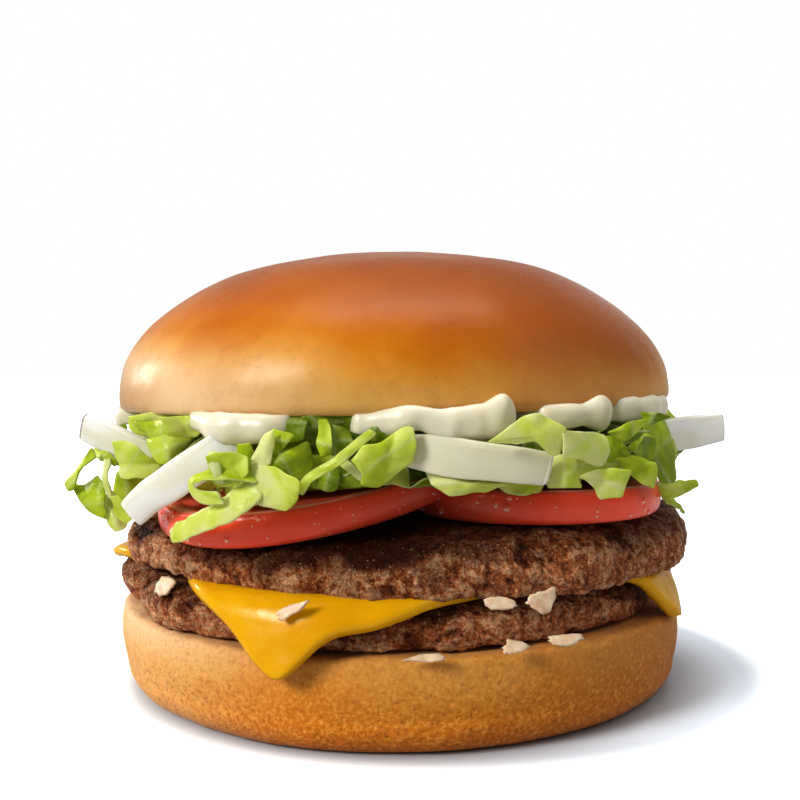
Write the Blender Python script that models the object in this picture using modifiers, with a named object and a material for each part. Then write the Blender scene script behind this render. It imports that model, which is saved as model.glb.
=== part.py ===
"""Double cheeseburger: a heel and a crown of bun, two beef patties, a draped cheese slice, slices of tomato,
a bed of shredded lettuce, onion strips and mayonnaise.

Metres, +Z up, the origin at the centre of the heel's flat base. The front of the burger faces -Y.
A bearing is measured round the burger from the front, in degrees, positive towards +X.
Every layer lies a small gap above the one that carries it.
"""

import math

import bmesh
import bpy
from mathutils import Euler, Matrix, Vector, noise

MM = 0.001
GAP = 0.35 * MM

# Bun
HEEL_HEIGHT = 15.0 * MM
HEEL_CENTRE = Vector((-0.3, 0.0, 0.0)) * MM
HEEL_TOP_RADIUS = 50.8 * MM
HEEL_SIDE_RADIUS = 50.3 * MM
HEEL_BASE_RADIUS = 45.2 * MM
HEEL_BASE_ROUND = 5.6 * MM
HEEL_TOP_ROUND = 1.4 * MM
HEEL_BELLY = 0.5 * MM
CROWN_CENTRE = Vector((-1.4, 0.0, 49.7)) * MM
CROWN_RADIUS = 50.2 * MM
CROWN_HEIGHT = 27.8 * MM
CROWN_CURL = 2.0 * MM
CROWN_TUCK = 0.9 * MM
CROWN_SQUARENESS = 2.045
CROWN_TILT = math.radians(1.0)
CROWN_SHOULDER = 0.7 * MM
CROWN_SHOULDER_PLACE = 0.6
CROWN_SHOULDER_WIDTH = 0.16
BUN_STEPS = 42

# Patties and cheese
LOWER_PATTY_CENTRE = Vector((-2.0, 0.0, 0.0)) * MM
LOWER_PATTY_RADIUS = 48.8 * MM
LOWER_PATTY_THICKNESS = 6.3 * MM
UPPER_PATTY_CENTRE = Vector((0.6, 0.0, 0.0)) * MM
UPPER_PATTY_RADIUS = 50.2 * MM
UPPER_PATTY_THICKNESS = 8.2 * MM
UPPER_PATTY_SLUMP = 1.3 * MM
UPPER_PATTY_SLUMP_START = 1.8 * MM
UPPER_PATTY_SLUMP_WIDTH = 3.0 * MM
UPPER_PATTY_DIP = 2.4 * MM
UPPER_PATTY_DIP_BEARING = -42
UPPER_PATTY_DIP_WIDTH = 66
UPPER_PATTY_ROUNDING = 0.9 * MM
PATTY_LUMP = 0.5 * MM
PATTY_LUMPS_PER_METRE = 90
PATTY_STEPS = 50
CHEESE_HALF_SIDE = 44.5 * MM
CHEESE_THICKNESS = 1.8 * MM
CHEESE_BEARING = -20.0
CHEESE_SLIP = 2.0 * MM
CHEESE_FOLD = 3.6 * MM
CHEESE_CLEARANCE = 1.6 * MM
CHEESE_HANG = math.radians(76.0)
CHEESE_HANG_TRIES = 6
CHEESE_BEND = 2.0 * MM
# Changes round the slice, each with the bearing it is centred on and its half width in degrees:
# its edge's reach as a share, its corners' drift in degrees, and how much steeper it hangs
CHEESE_RUNS = (
    (0.07, 4, 22), (0.02, -24, 16), (-0.024, -11, 9), (-0.05, 68, 20), (0.04, -38, 12), (-0.06, -110, 20),
)  # fmt: skip
CHEESE_DRIFTS = ((2.0, -20, 30), (-5.0, 70, 36), (22.0, -110, 50))
CHEESE_DROOPS = ((math.radians(-26.0), -95, 40), (math.radians(11.0), 82, 30))
CHEESE_PINCH = 0.05
CHEESE_CORNER_LOSS = 0.045
CHEESE_CELLS = 16

LOWER_PATTY_FLOOR = HEEL_HEIGHT + GAP
LOWER_PATTY_TOP = LOWER_PATTY_FLOOR + LOWER_PATTY_THICKNESS
CHEESE_LEVEL = LOWER_PATTY_TOP + GAP + CHEESE_THICKNESS / 2
UPPER_PATTY_FLOOR = CHEESE_LEVEL + CHEESE_THICKNESS / 2 + GAP
UPPER_PATTY_TOP = UPPER_PATTY_FLOOR + UPPER_PATTY_THICKNESS

# Tomato slices: name, centre x and y, radius, height of the underside at the centre,
# rise to the right and back
TOMATO_THICKNESS = 4.7 * MM
TOMATO_SKIN_BULGE = 1.1 * MM
TOMATO_SKIN_ARC = math.radians(66)
TOMATO_STEPS = 32
TOMATO_LEVEL = UPPER_PATTY_TOP + GAP
TOMATOES = (
    ("tomato_left", -17.4, -18.6, 25.6, 3.3, 10.5, 8.8),
    ("tomato_right", 22.4, -18.6, 23.6, 0.0, 0.0, 0.0),
    ("tomato_back", -1.0, 26.5, 20.0, 0.0, 0.0, 0.0),
)

# Lettuce and mayonnaise
LETTUCE_REACH = 48.5 * MM
LETTUCE_HEM = 37.6 * MM
LETTUCE_OVER_TOMATO = 8.0 * MM
LETTUCE_DROOP_START = 49.0 * MM
LETTUCE_DROOP_WIDTH = 7.0 * MM
LETTUCE_SLOPE = 7.0 * MM
LETTUCE_SLOPE_WIDTH = 12.0 * MM
LETTUCE_RUFFLE = 0.8 * MM
LETTUCE_RUFFLES_PER_METRE = 160
LETTUCE_STEPS = 50
MAYO_REACH = 47.0 * MM
MAYO_THICKNESS = 1.3 * MM
MAYO_DROP_START = 44.5 * MM
MAYO_DROP_WIDTH = 4.5 * MM
MAYO_RISE_START = 50.9 * MM
MAYO_RISE_WIDTH = 0.9 * MM
MAYO_LIP = 0.6 * MM
MAYO_STEPS = 60

# Tufts of the lettuce: bearing, half width in degrees, how far they stand out and how far they droop, in mm
TUFTS = (
    (-97, 30, 11.0, 8.0),
    (-62, 22, 4.5, 4.0),
    (-28, 18, 2.5, 1.5),
    (8, 16, 2.0, 0.5),
    (48, 24, 3.0, 1.0),
    (84, 22, 6.5, 4.0),
    (122, 26, 5.0, 5.0),
    (158, 20, 4.0, 3.0),
    (196, 24, 5.5, 5.0),
    (232, 20, 4.0, 3.0),
)

# Dollops of mayonnaise at the rim: bearing, half width in degrees, reach, drop and rise in mm
DOLLOPS = (
    (-78, 11, 3.6, 1.0, 0.8),
    (-29, 16, 4.0, 2.2, 0.0),
    (4, 17, 5.0, 1.2, 1.4),
    (17, 12, 5.2, 1.0, 1.6),
    (37, 14, 5.0, 1.6, 2.0),
    (64, 18, 4.4, 1.0, 0.6),
    (112, 18, 4.4, 1.6, 0.9),
    (150, 16, 4.6, 2.2, 1.4),
    (188, 20, 4.8, 1.6, 0.6),
    (226, 15, 4.2, 2.4, 1.2),
)

# Onion strips: start, middle and end in mm, and roll about the length in degrees
ONION_WIDTH = 5.4 * MM
ONION_THICKNESS = 2.2 * MM
ONION_TAPER = 0.14
ONION_EDGE = 0.45 * MM
ONION_CUTS = 4
ONION_STRIPS = (
    ((0.6, -50.4, 44.2), (10.8, -51.4, 43.2), (20.8, -49.2, 42.0), 2),
    ((-42.8, -31.6, 33.4), (-33.4, -41.4, 40.0), (-24.4, -47.2, 46.0), 30),
    ((-36.5, -27.0, 41.2), (-45.0, -26.0, 43.6), (-53.0, -24.6, 46.8), 0),
    ((38.5, -22.5, 44.0), (47.5, -17.2, 44.5), (56.5, -12.0, 45.4), 0),
    ((45.3, 21.3, 39.2), (40.0, 31.3, 41.6), (31.8, 39.0, 43.2), 4),
    ((8.6, 43.0, 41.4), (16.4, 48.2, 42.4), (24.4, 53.6, 43.2), 0),
    ((-10.8, 49.3, 42.6), (-21.8, 46.6, 40.8), (-31.6, 39.8, 38.2), 5),
    ((-37.5, 34.5, 41.0), (-43.6, 27.2, 42.6), (-47.3, 18.4, 43.6), 0),
)

CRUST = (0.55, 0.22, 0.05, 1)
CRUMB = (0.72, 0.42, 0.15, 1)
BEEF = (0.13, 0.065, 0.04, 1)
CHEDDAR = (0.86, 0.48, 0.02, 1)
TOMATO = (0.55, 0.035, 0.02, 1)
LEAF = (0.42, 0.60, 0.08, 1)
ONION = (0.80, 0.80, 0.74, 1)
MAYO = (0.84, 0.82, 0.68, 1)


def clear_scene():
    for obj in list(bpy.data.objects):
        bpy.data.objects.remove(obj)


def material(name, colour, roughness):
    made = bpy.data.materials.new(name)
    made.use_nodes = True
    shader = made.node_tree.nodes["Principled BSDF"]
    shader.inputs["Base Color"].default_value = colour
    shader.inputs["Roughness"].default_value = roughness
    shader.inputs["Metallic"].default_value = 0.0
    return made


def add_object(name, mesh, finish, collection):
    obj = bpy.data.objects.new(name, mesh)
    collection.objects.link(obj)
    obj.data.materials.clear()
    obj.data.materials.append(finish)
    return obj


def apply_modifiers(obj):
    """Replaces the object's mesh with what its modifiers make of it."""
    bpy.context.view_layer.update()
    graph = bpy.context.evaluated_depsgraph_get()
    settled = bpy.data.meshes.new_from_object(obj.evaluated_get(graph))
    obj.modifiers.clear()
    obj.data = settled


def turned(name, profile, steps, finish, collection):
    """A body turned about Z from a profile that starts and ends on the axis and runs down its outer side."""
    mesh = bpy.data.meshes.new(name)
    mesh.from_pydata([(x, 0, z) for x, z in profile], [(i, i + 1) for i in range(len(profile) - 1)], [])
    obj = add_object(name, mesh, finish, collection)
    screw = obj.modifiers.new("Turn", "SCREW")
    screw.steps = steps
    screw.render_steps = steps
    screw.use_merge_vertices = True
    screw.merge_threshold = 0.00001
    apply_modifiers(obj)
    return obj


def reshape(obj, move):
    """Moves each vertex of the object's mesh to where the function sends it."""
    for vertex in obj.data.vertices:
        vertex.co = move(vertex.co.copy())
    obj.data.update()


def finish_shading(obj):
    obj.data.shade_smooth()
    obj.data.set_sharp_from_angle(angle=math.radians(40))


def bearing_of(x, y):
    return math.degrees(math.atan2(x, -y))


def at_bearing(bearing, radius, height=0.0):
    angle = math.radians(bearing)
    return Vector((radius * math.sin(angle), -radius * math.cos(angle), height))


def smooth(value):
    """Rises from 0 to 1 without corners as the value goes from 0 to 1."""
    value = min(max(value, 0.0), 1.0)
    return value * value * (3 - 2 * value)


def bump(bearing, centre, half_width):
    """1 at the centre bearing, falling smoothly to 0 at the half width."""
    off = abs((bearing - centre + 180) % 360 - 180)
    return smooth(1 - off / half_width)


def arc(start, end, steps):
    """Angles in radians from start to end, which are in degrees."""
    return [math.radians(start + (end - start) * i / steps) for i in range(steps + 1)]


def waves(bearing, terms):
    """A sum of cosines round the rim, each given as its count, size and phase."""
    angle = math.radians(bearing)
    return sum(size * math.cos(count * angle + phase) for count, size, phase in terms)


def layer(name, flats, edge, rim_steps, steps, reach, floor, ceiling, finish, collection, centre=Vector()):
    """A layer of food turned from a lens profile and fitted between its floor and its ceiling.

    flats are the shares of the radius where the flat part has rings,
    edge is the share that the rounded rim takes.
    reach is a function of the bearing, floor and ceiling are functions of x and y.
    """
    top = [(0.0, 1.0)] + [(share * (1 - edge), 1.0) for share in flats]
    rim = []
    for i in range(rim_steps + 1):
        angle = math.pi * i / rim_steps
        rim.append((1 - edge + edge * math.sin(angle), 0.5 + 0.5 * math.cos(angle)))
    under = [(x, 0.0) for x, _ in reversed(top)]
    obj = turned(name, top + rim + under, steps, finish, collection)

    def fit(point):
        bearing = bearing_of(point.x, point.y)
        radius = reach(bearing) * math.hypot(point.x, point.y)
        place = centre + at_bearing(bearing, radius)
        low, high = floor(place.x, place.y), ceiling(place.x, place.y)
        return Vector((place.x, place.y, low + (high - low) * point.z))

    reshape(obj, fit)
    return obj


def heel_swell(bearing):
    """How much wider than the mean the heel is at a bearing."""
    return 1 + waves(bearing, ((2, 0.004, 0.6), (3, 0.004, 2.0), (5, 0.002, 1.0)))


def heel(finish, collection):
    """The bottom half of the bun: a flaring side, a well rounded base and a cut top."""
    side_top = HEEL_HEIGHT - HEEL_TOP_ROUND
    flat_radius = HEEL_TOP_RADIUS - HEEL_TOP_ROUND
    profile = [(0, HEEL_HEIGHT), (HEEL_TOP_RADIUS / 2, HEEL_HEIGHT)]
    for angle in arc(90, 0, 3):
        out = HEEL_TOP_ROUND * math.cos(angle)
        profile.append((flat_radius + out, side_top + HEEL_TOP_ROUND * math.sin(angle)))
    profile.append(((HEEL_TOP_RADIUS + HEEL_SIDE_RADIUS) / 2 + HEEL_BELLY, (side_top + HEEL_BASE_ROUND) / 2))
    for angle in arc(0, 90, 4):
        out = (HEEL_SIDE_RADIUS - HEEL_BASE_RADIUS) * math.cos(angle)
        profile.append((HEEL_BASE_RADIUS + out, HEEL_BASE_ROUND * (1 - math.sin(angle))))
    profile.append((0, 0))
    obj = turned("bun_heel", profile, BUN_STEPS, finish, collection)

    def settle(point):
        grow = heel_swell(bearing_of(point.x, point.y))
        return Vector((point.x * grow, point.y * grow, point.z))

    reshape(obj, settle)
    obj.location = HEEL_CENTRE
    return obj


def crown_underside(x):
    """Height of the crown's tilted cut face."""
    return CROWN_CENTRE.z + (x - CROWN_CENTRE.x) * math.tan(CROWN_TILT)


def crown(finish, collection):
    """The top half of the bun: a domed top whose side curls under to the cut face."""
    dome = CROWN_HEIGHT - CROWN_CURL
    power = 2 / CROWN_SQUARENESS
    profile = []
    for angle in arc(0, 90, 9):
        share = math.sin(angle) ** power
        fullness = math.exp(-(((share - CROWN_SHOULDER_PLACE) / CROWN_SHOULDER_WIDTH) ** 2))
        rise = dome * math.cos(angle) ** power + CROWN_SHOULDER * fullness
        profile.append((CROWN_RADIUS * share, CROWN_CURL + rise))
    for angle in arc(0, 90, 4)[1:]:
        inward = CROWN_TUCK * (1 - math.cos(angle))
        profile.append((CROWN_RADIUS - inward, CROWN_CURL * (1 - math.sin(angle))))
    profile += [(CROWN_RADIUS / 2, 0), (0, 0)]
    obj = turned("bun_crown", profile, BUN_STEPS, finish, collection)

    def settle(point):
        bearing = bearing_of(point.x, point.y)
        grow = 1 + waves(bearing, ((2, 0.004, 1.9), (3, 0.003, 0.4), (5, 0.0015, 2.6)))
        return Vector((point.x * grow, point.y * grow, point.z))

    reshape(obj, settle)
    obj.rotation_euler = Euler((0, -CROWN_TILT, 0))
    obj.location = CROWN_CENTRE
    return obj


def lower_patty_reach(bearing):
    crack = 2.2 * bump(bearing, -66, 7) + 1.4 * bump(bearing, 118, 8) + 1.2 * bump(bearing, 201, 6)
    ripple = waves(bearing, ((2, 0.5, 0.3), (3, 0.5, 1.7), (7, 0.35, 0.5), (11, 0.3, 2.2)))
    return LOWER_PATTY_RADIUS + (ripple - crack) * MM


def patty_lumps(x, y, seed):
    """How far the minced surface lies below the patty's level."""
    return PATTY_LUMP * (0.5 + 0.5 * noise.noise(Vector((x, y, seed)) * PATTY_LUMPS_PER_METRE))


def lower_patty_floor(x, y):
    return LOWER_PATTY_FLOOR


def lower_patty_top(x, y):
    return LOWER_PATTY_TOP - patty_lumps(x, y, 0.0)


def lower_patty(finish, collection):
    return layer(
        "patty_lower", (0.6,), 0.075, 5, PATTY_STEPS, lower_patty_reach, lower_patty_floor, lower_patty_top,
        finish, collection, LOWER_PATTY_CENTRE,
    )  # fmt: skip


def cheese_axes():
    """The directions of the slice's two sides, and its centre."""
    ahead = at_bearing(CHEESE_BEARING, 1)
    across = at_bearing(CHEESE_BEARING + 90, 1)
    side = (ahead + across).normalized()
    other = (ahead - across).normalized()
    return side, other, ahead * CHEESE_SLIP


def cheese_length(bearing):
    """How far the slice's edge has run or crept back, as a factor of its distance from the middle."""
    return 1 + sum(share * bump(bearing, centre, half) for share, centre, half in CHEESE_RUNS)


def cheese_drift(bearing):
    """How far the melting corners have slid round the rim, in degrees."""
    return sum(degrees * bump(bearing, centre, half) for degrees, centre, half in CHEESE_DRIFTS)


def cheese_path(bearing, distance):
    """Where a point of the slice lies once it has bent over the patty's rim and the heel's edge."""
    fold = lower_patty_reach(bearing) + CHEESE_CLEARANCE + CHEESE_THICKNESS / 2 - CHEESE_FOLD
    offset = LOWER_PATTY_CENTRE - HEEL_CENTRE
    shift = offset.dot(at_bearing(bearing, 1))
    heel_radius = HEEL_TOP_RADIUS * heel_swell(bearing)
    heel_edge = math.sqrt(shift**2 - offset.length_squared + heel_radius**2) - shift
    clear = heel_edge + 2 * GAP + CHEESE_THICKNESS / 2
    steepest = CHEESE_HANG + sum(turn * bump(bearing, centre, half) for turn, centre, half in CHEESE_DROOPS)
    hang = steepest
    for _ in range(CHEESE_HANG_TRIES):
        radius = fold + CHEESE_FOLD * math.sin(hang)
        height = CHEESE_LEVEL - CHEESE_FOLD * (1 - math.cos(hang))
        hang = min(steepest, math.atan2(height - HEEL_HEIGHT, clear - radius))
    past = max(distance - fold, 0.0)
    turn = min(past / CHEESE_FOLD, hang)
    straight = max(past - CHEESE_FOLD * hang, 0.0)
    slope = min(straight, max(clear - radius, 0.0) / math.cos(hang))
    bend = min((straight - slope) / CHEESE_BEND, steepest - hang)
    drop = straight - slope - CHEESE_BEND * bend
    out = min(distance, fold) + CHEESE_FOLD * math.sin(turn) + slope * math.cos(hang)
    out += CHEESE_BEND * (math.sin(hang + bend) - math.sin(hang)) + drop * math.cos(steepest)
    height = CHEESE_LEVEL - CHEESE_FOLD * (1 - math.cos(turn)) - slope * math.sin(hang)
    height -= CHEESE_BEND * (math.cos(hang) - math.cos(hang + bend)) + drop * math.sin(steepest)
    return LOWER_PATTY_CENTRE + at_bearing(bearing, out, height)


def outside_cheese(x, y):
    """How far a point lies outside the square of the slice, negative inside it."""
    side, other, middle = cheese_axes()
    place = Vector((x, y, 0)) - middle
    return max(abs(place.dot(side)), abs(place.dot(other))) - CHEESE_HALF_SIDE


def upper_patty_reach(bearing):
    crack = 1.6 * bump(bearing, -112, 8) + 1.8 * bump(bearing, 142, 7) + 1.0 * bump(bearing, 24, 6)
    ripple = waves(bearing, ((2, 0.6, 3.0), (3, 0.4, 0.2), (7, 0.4, 1.9), (11, 0.3, 0.7)))
    return UPPER_PATTY_RADIUS + (ripple - crack) * MM


def upper_patty_floor(x, y):
    """Level above the cheese, slumping a little where the rim passes outside the slice."""
    past = (outside_cheese(x, y) - UPPER_PATTY_SLUMP_START) / UPPER_PATTY_SLUMP_WIDTH
    return UPPER_PATTY_FLOOR - UPPER_PATTY_SLUMP * smooth(past)


def upper_patty_top(x, y):
    """Level in the middle, lower towards the front left, where a tomato slice leans down to the rim."""
    away = math.hypot(x, y) / UPPER_PATTY_RADIUS
    lean = bump(bearing_of(x, y), UPPER_PATTY_DIP_BEARING, UPPER_PATTY_DIP_WIDTH)
    dip = UPPER_PATTY_DIP * lean * smooth((away - 0.35) / 0.5)
    rounding = UPPER_PATTY_ROUNDING * smooth((away - 0.72) / 0.3)
    return UPPER_PATTY_TOP - dip - rounding - patty_lumps(x, y, 0.01)


def upper_patty(finish, collection):
    return layer(
        "patty_upper", (0.45, 0.93), 0.085, 5, PATTY_STEPS,
        upper_patty_reach, upper_patty_floor, upper_patty_top,
        finish, collection, UPPER_PATTY_CENTRE,
    )  # fmt: skip


def cheese(finish, collection):
    """A square slice that lies on the lower patty, its four corners softened and hanging over the rim."""
    mesh = bpy.data.meshes.new("cheese_slice")
    grid = bmesh.new()
    bmesh.ops.create_grid(grid, x_segments=CHEESE_CELLS, y_segments=CHEESE_CELLS, size=1)
    grid.to_mesh(mesh)
    grid.free()
    obj = add_object("cheese_slice", mesh, finish, collection)
    side, other, middle = cheese_axes()

    def drape(point):
        u, v = point.x, point.y
        u, v = u * (1 - CHEESE_PINCH * (1 - v * v)), v * (1 - CHEESE_PINCH * (1 - u * u))
        softened = 1 - CHEESE_CORNER_LOSS * (u * v) ** 8
        flat = middle + (side * u + other * v) * CHEESE_HALF_SIDE * softened - LOWER_PATTY_CENTRE
        bearing = bearing_of(flat.x, flat.y)
        return cheese_path(bearing + cheese_drift(bearing), flat.length * cheese_length(bearing))

    reshape(obj, drape)
    solidify = obj.modifiers.new("Thickness", "SOLIDIFY")
    solidify.thickness = CHEESE_THICKNESS
    solidify.offset = 0
    apply_modifiers(obj)
    return obj


def tomato_matrix(x, y, lift, rise_right, rise_back):
    place = Matrix.Translation(Vector((x * MM, y * MM, TOMATO_LEVEL + lift * MM)))
    tilt = Euler((math.radians(rise_back), -math.radians(rise_right), 0)).to_matrix().to_4x4()
    return place @ tilt


def tomato(name, x, y, radius, lift, rise_right, rise_back, finish, collection):
    """A thick round slice with a bulging skin."""
    half = TOMATO_THICKNESS / 2
    radius *= MM
    flesh = radius - 2.2 * TOMATO_SKIN_BULGE
    profile = [(0, TOMATO_THICKNESS), (flesh, TOMATO_THICKNESS)]
    for i in range(5):
        angle = TOMATO_SKIN_ARC * (1 - i / 2)
        rise = math.sin(angle) / math.sin(TOMATO_SKIN_ARC)
        profile.append((radius - TOMATO_SKIN_BULGE * (1 - math.cos(angle)), half + half * rise))
    profile += [(flesh, 0), (0, 0)]
    obj = turned(name, profile, TOMATO_STEPS, finish, collection)

    def swell(point):
        grow = 1 + waves(bearing_of(point.x, point.y), ((2, 0.012, x), (3, 0.008, y), (5, 0.006, x)))
        return Vector((point.x * grow, point.y * grow, point.z))

    reshape(obj, swell)
    obj.matrix_world = tomato_matrix(x, y, lift, rise_right, rise_back)
    return obj


def above_tomatoes(x, y, margin):
    """Height of the highest tomato slice over this point, or of the patty where there is none."""
    height = upper_patty_top(x, y)
    for _, cx, cy, radius, lift, rise_right, rise_back in TOMATOES:
        if math.hypot(x - cx * MM, y - cy * MM) < radius * MM + margin:
            matrix = tomato_matrix(cx, cy, lift, rise_right, rise_back)
            normal = (matrix.to_3x3() @ Vector((0, 0, 1))).normalized()
            point = matrix @ Vector((0, 0, TOMATO_THICKNESS))
            height = max(height, point.z - (normal.x * (x - point.x) + normal.y * (y - point.y)) / normal.z)
    return height


def mayo_edge(x, y):
    """The shares of drop and rise of the dollops at this point, and how far out it is on their slope."""
    bearing = bearing_of(x - CROWN_CENTRE.x, y)
    out = smooth((math.hypot(x - CROWN_CENTRE.x, y) - MAYO_DROP_START) / MAYO_DROP_WIDTH)
    drop = max(size * bump(bearing, centre, width) for centre, width, _, size, _ in DOLLOPS)
    rise = max(size * bump(bearing, centre, width) for centre, width, _, _, size in DOLLOPS)
    return out, drop * MM, rise * MM


def mayo_floor(x, y):
    out, drop, _ = mayo_edge(x, y)
    return crown_underside(x) - GAP - MAYO_THICKNESS - out * drop


def mayo_ceiling(x, y):
    _, _, rise = mayo_edge(x, y)
    beyond = smooth((math.hypot(x - CROWN_CENTRE.x, y) - MAYO_RISE_START) / MAYO_RISE_WIDTH)
    return crown_underside(x) - GAP + beyond * (rise + MAYO_LIP)


def mayo_reach(bearing):
    ripple = waves(bearing, ((3, 0.5, 0.8), (8, 0.4, 1.5)))
    dollop = max(reach * bump(bearing, at, width) for at, width, reach, _, _ in DOLLOPS)
    return MAYO_REACH + (ripple + dollop) * MM


def mayonnaise(finish, collection):
    centre = Vector((CROWN_CENTRE.x, 0, 0))
    return layer(
        "mayonnaise", (0.93, 1.0), 0.035, 4, MAYO_STEPS, mayo_reach, mayo_floor, mayo_ceiling,
        finish, collection, centre,
    )  # fmt: skip


def lettuce_reach(bearing):
    tufts = max(out * bump(bearing, at, width) for at, width, out, _ in TUFTS)
    return LETTUCE_REACH + (tufts + waves(bearing, ((9, 0.8, 0.4), (17, 0.7, 1.3)))) * MM


def lettuce_floor(x, y):
    """On the tomatoes and the patty inside, drooping outside the rim where a tuft hangs."""
    bearing, away = bearing_of(x, y), math.hypot(x, y)
    droop = max(down * bump(bearing, at, width) for at, width, _, down in TUFTS) * MM
    hem = LETTUCE_HEM - droop * smooth((away - LETTUCE_DROOP_START) / LETTUCE_DROOP_WIDTH)
    ruffle = LETTUCE_RUFFLE * noise.noise(Vector((x, y, 0.3)) * LETTUCE_RUFFLES_PER_METRE)
    return max(above_tomatoes(x, y, LETTUCE_OVER_TOMATO) + 2 * GAP, hem + ruffle)


def lettuce_ceiling(x, y):
    away = math.hypot(x - CROWN_CENTRE.x, y)
    slope = LETTUCE_SLOPE * smooth((away - LETTUCE_DROOP_START) / LETTUCE_SLOPE_WIDTH)
    ruffle = LETTUCE_RUFFLE * (0.6 + 0.6 * noise.noise(Vector((x, y, 0.7)) * LETTUCE_RUFFLES_PER_METRE))
    rim = smooth((away - 0.8 * LETTUCE_DROOP_START) / LETTUCE_DROOP_WIDTH)
    return mayo_floor(x, y) - 2 * GAP - slope - ruffle * rim


def lettuce(finish, collection):
    """The heap of shreds as one uneven bed, carved round what is pushed into it."""
    return layer(
        "lettuce", (0.4, 0.7, 0.9, 1.0), 0.07, 4, LETTUCE_STEPS,
        lettuce_reach, lettuce_floor, lettuce_ceiling,
        finish, collection,
    )  # fmt: skip


def onion_strip(name, start, middle, end, roll, finish, collection):
    """A strip cut from an onion layer: a flat bar that follows a bend and thins towards its ends."""
    mesh = bpy.data.meshes.new(name)
    bar = bmesh.new()
    bmesh.ops.create_cube(bar, size=1)
    long_edges = [e for e in bar.edges if abs(e.verts[0].co.x - e.verts[1].co.x) > 0.5]
    bmesh.ops.subdivide_edges(bar, edges=long_edges, cuts=ONION_CUTS, use_grid_fill=True)
    bar.to_mesh(mesh)
    bar.free()
    obj = add_object(name, mesh, finish, collection)
    start, middle, end = (Vector(point) * MM for point in (start, middle, end))
    across, bulge = (end - start) / 2, (start + end) / 2 - middle
    outward = Vector((middle.x, middle.y, 0)).normalized()

    def bend(point):
        place = 2 * point.x
        taper = 1 - ONION_TAPER * place**2
        along = (across + 2 * bulge * place).normalized()
        face = (outward - outward.dot(along) * along).normalized()
        face = Matrix.Rotation(math.radians(roll), 3, along) @ face
        section = face * point.y * ONION_THICKNESS + along.cross(face) * point.z * ONION_WIDTH
        return middle + across * place + bulge * place**2 + section * taper

    reshape(obj, bend)
    bevel = obj.modifiers.new("Edges", "BEVEL")
    bevel.width = ONION_EDGE
    bevel.segments = 1
    apply_modifiers(obj)
    return obj


def carve(obj, cutter_source, cutters):
    """Cuts the shape of another piece, swollen by the gap, out of the object."""
    swollen = bpy.data.objects.new("cut_" + cutter_source.name, cutter_source.data.copy())
    cutters.objects.link(swollen)
    swollen.matrix_world = cutter_source.matrix_world
    swollen.hide_render = True
    swollen.display_type = "WIRE"
    swell = swollen.modifiers.new("Gap", "DISPLACE")
    swell.strength = 1.5 * GAP
    swell.mid_level = 0
    cut = obj.modifiers.new("Room", "BOOLEAN")
    cut.operation = "DIFFERENCE"
    cut.object = swollen


def main():
    clear_scene()
    scene = bpy.context.scene.collection
    parts = bpy.data.collections.new("double_cheeseburger")
    cutters = bpy.data.collections.new("cutters")
    for collection in (parts, cutters):
        scene.children.link(collection)
    crust = material("crust", CRUST, 0.4)
    crumb = material("crumb", CRUMB, 0.7)
    beef = material("beef", BEEF, 0.5)
    leaf = material("leaf", LEAF, 0.45)
    onion = material("onion", ONION, 0.35)
    heel(crumb, parts)
    lower_patty(beef, parts)
    cheese(material("cheddar", CHEDDAR, 0.3), parts)
    upper_patty(beef, parts)
    red = material("tomato", TOMATO, 0.25)
    for slice_values in TOMATOES:
        tomato(*slice_values, red, parts)
    mayonnaise(material("mayo", MAYO, 0.35), parts)
    crown(crust, parts)
    bed = lettuce(leaf, parts)
    for number, values in enumerate(ONION_STRIPS, 1):
        strip = onion_strip(f"onion_strip_{number}", *values, onion, parts)
        carve(bed, strip, cutters)
    for obj in parts.objects:
        finish_shading(obj)


main()
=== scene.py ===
"""The looks of the double cheeseburger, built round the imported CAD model.

Metres, +Z up, the front of the burger facing -Y. A bearing is measured round the burger from the front, in
degrees, positive towards +X. A piece that stands for a CAD node replaces it and keeps its place and size.
"""

import itertools
import math

import bpy
import numpy as np
from mathutils import Euler, Matrix, Vector


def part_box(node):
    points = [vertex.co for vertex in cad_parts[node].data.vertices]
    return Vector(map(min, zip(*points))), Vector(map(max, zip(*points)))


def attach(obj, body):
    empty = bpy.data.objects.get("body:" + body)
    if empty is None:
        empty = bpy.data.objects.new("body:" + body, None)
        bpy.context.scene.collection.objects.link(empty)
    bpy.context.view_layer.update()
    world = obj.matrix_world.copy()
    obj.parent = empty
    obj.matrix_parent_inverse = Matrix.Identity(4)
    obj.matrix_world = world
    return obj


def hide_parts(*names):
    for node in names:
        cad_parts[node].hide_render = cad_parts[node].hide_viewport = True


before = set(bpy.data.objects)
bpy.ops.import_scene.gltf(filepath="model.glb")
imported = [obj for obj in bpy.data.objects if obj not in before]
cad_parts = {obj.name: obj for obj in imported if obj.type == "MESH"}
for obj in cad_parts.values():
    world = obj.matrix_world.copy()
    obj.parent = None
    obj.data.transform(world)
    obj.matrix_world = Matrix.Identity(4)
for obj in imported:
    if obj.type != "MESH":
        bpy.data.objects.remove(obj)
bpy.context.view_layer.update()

MM = 0.001
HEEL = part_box("bun_heel")
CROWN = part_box("bun_crown")
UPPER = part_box("patty_upper")
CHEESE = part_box("cheese_slice")


# Noise --------------------------------------------------------------------------------------------

CELL_PRIMES = (73856093, 19349663, 83492791)
SEED_PRIME = 40503001
STIRS = ((15, 739982445), (12, 695872825))
LARGEST = 0xFFFFFFFF


def lattice(cell, seed):
    """A repeatable number from 0 to 1 for each whole-number cell."""
    n = seed * SEED_PRIME
    for axis, prime in enumerate(CELL_PRIMES):
        n = n ^ (cell[..., axis] * prime)
    n = n & LARGEST
    for shift, factor in STIRS:
        n = ((n ^ (n >> shift)) * factor) & LARGEST
    return (n ^ (n >> 16)) / float(LARGEST)


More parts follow.
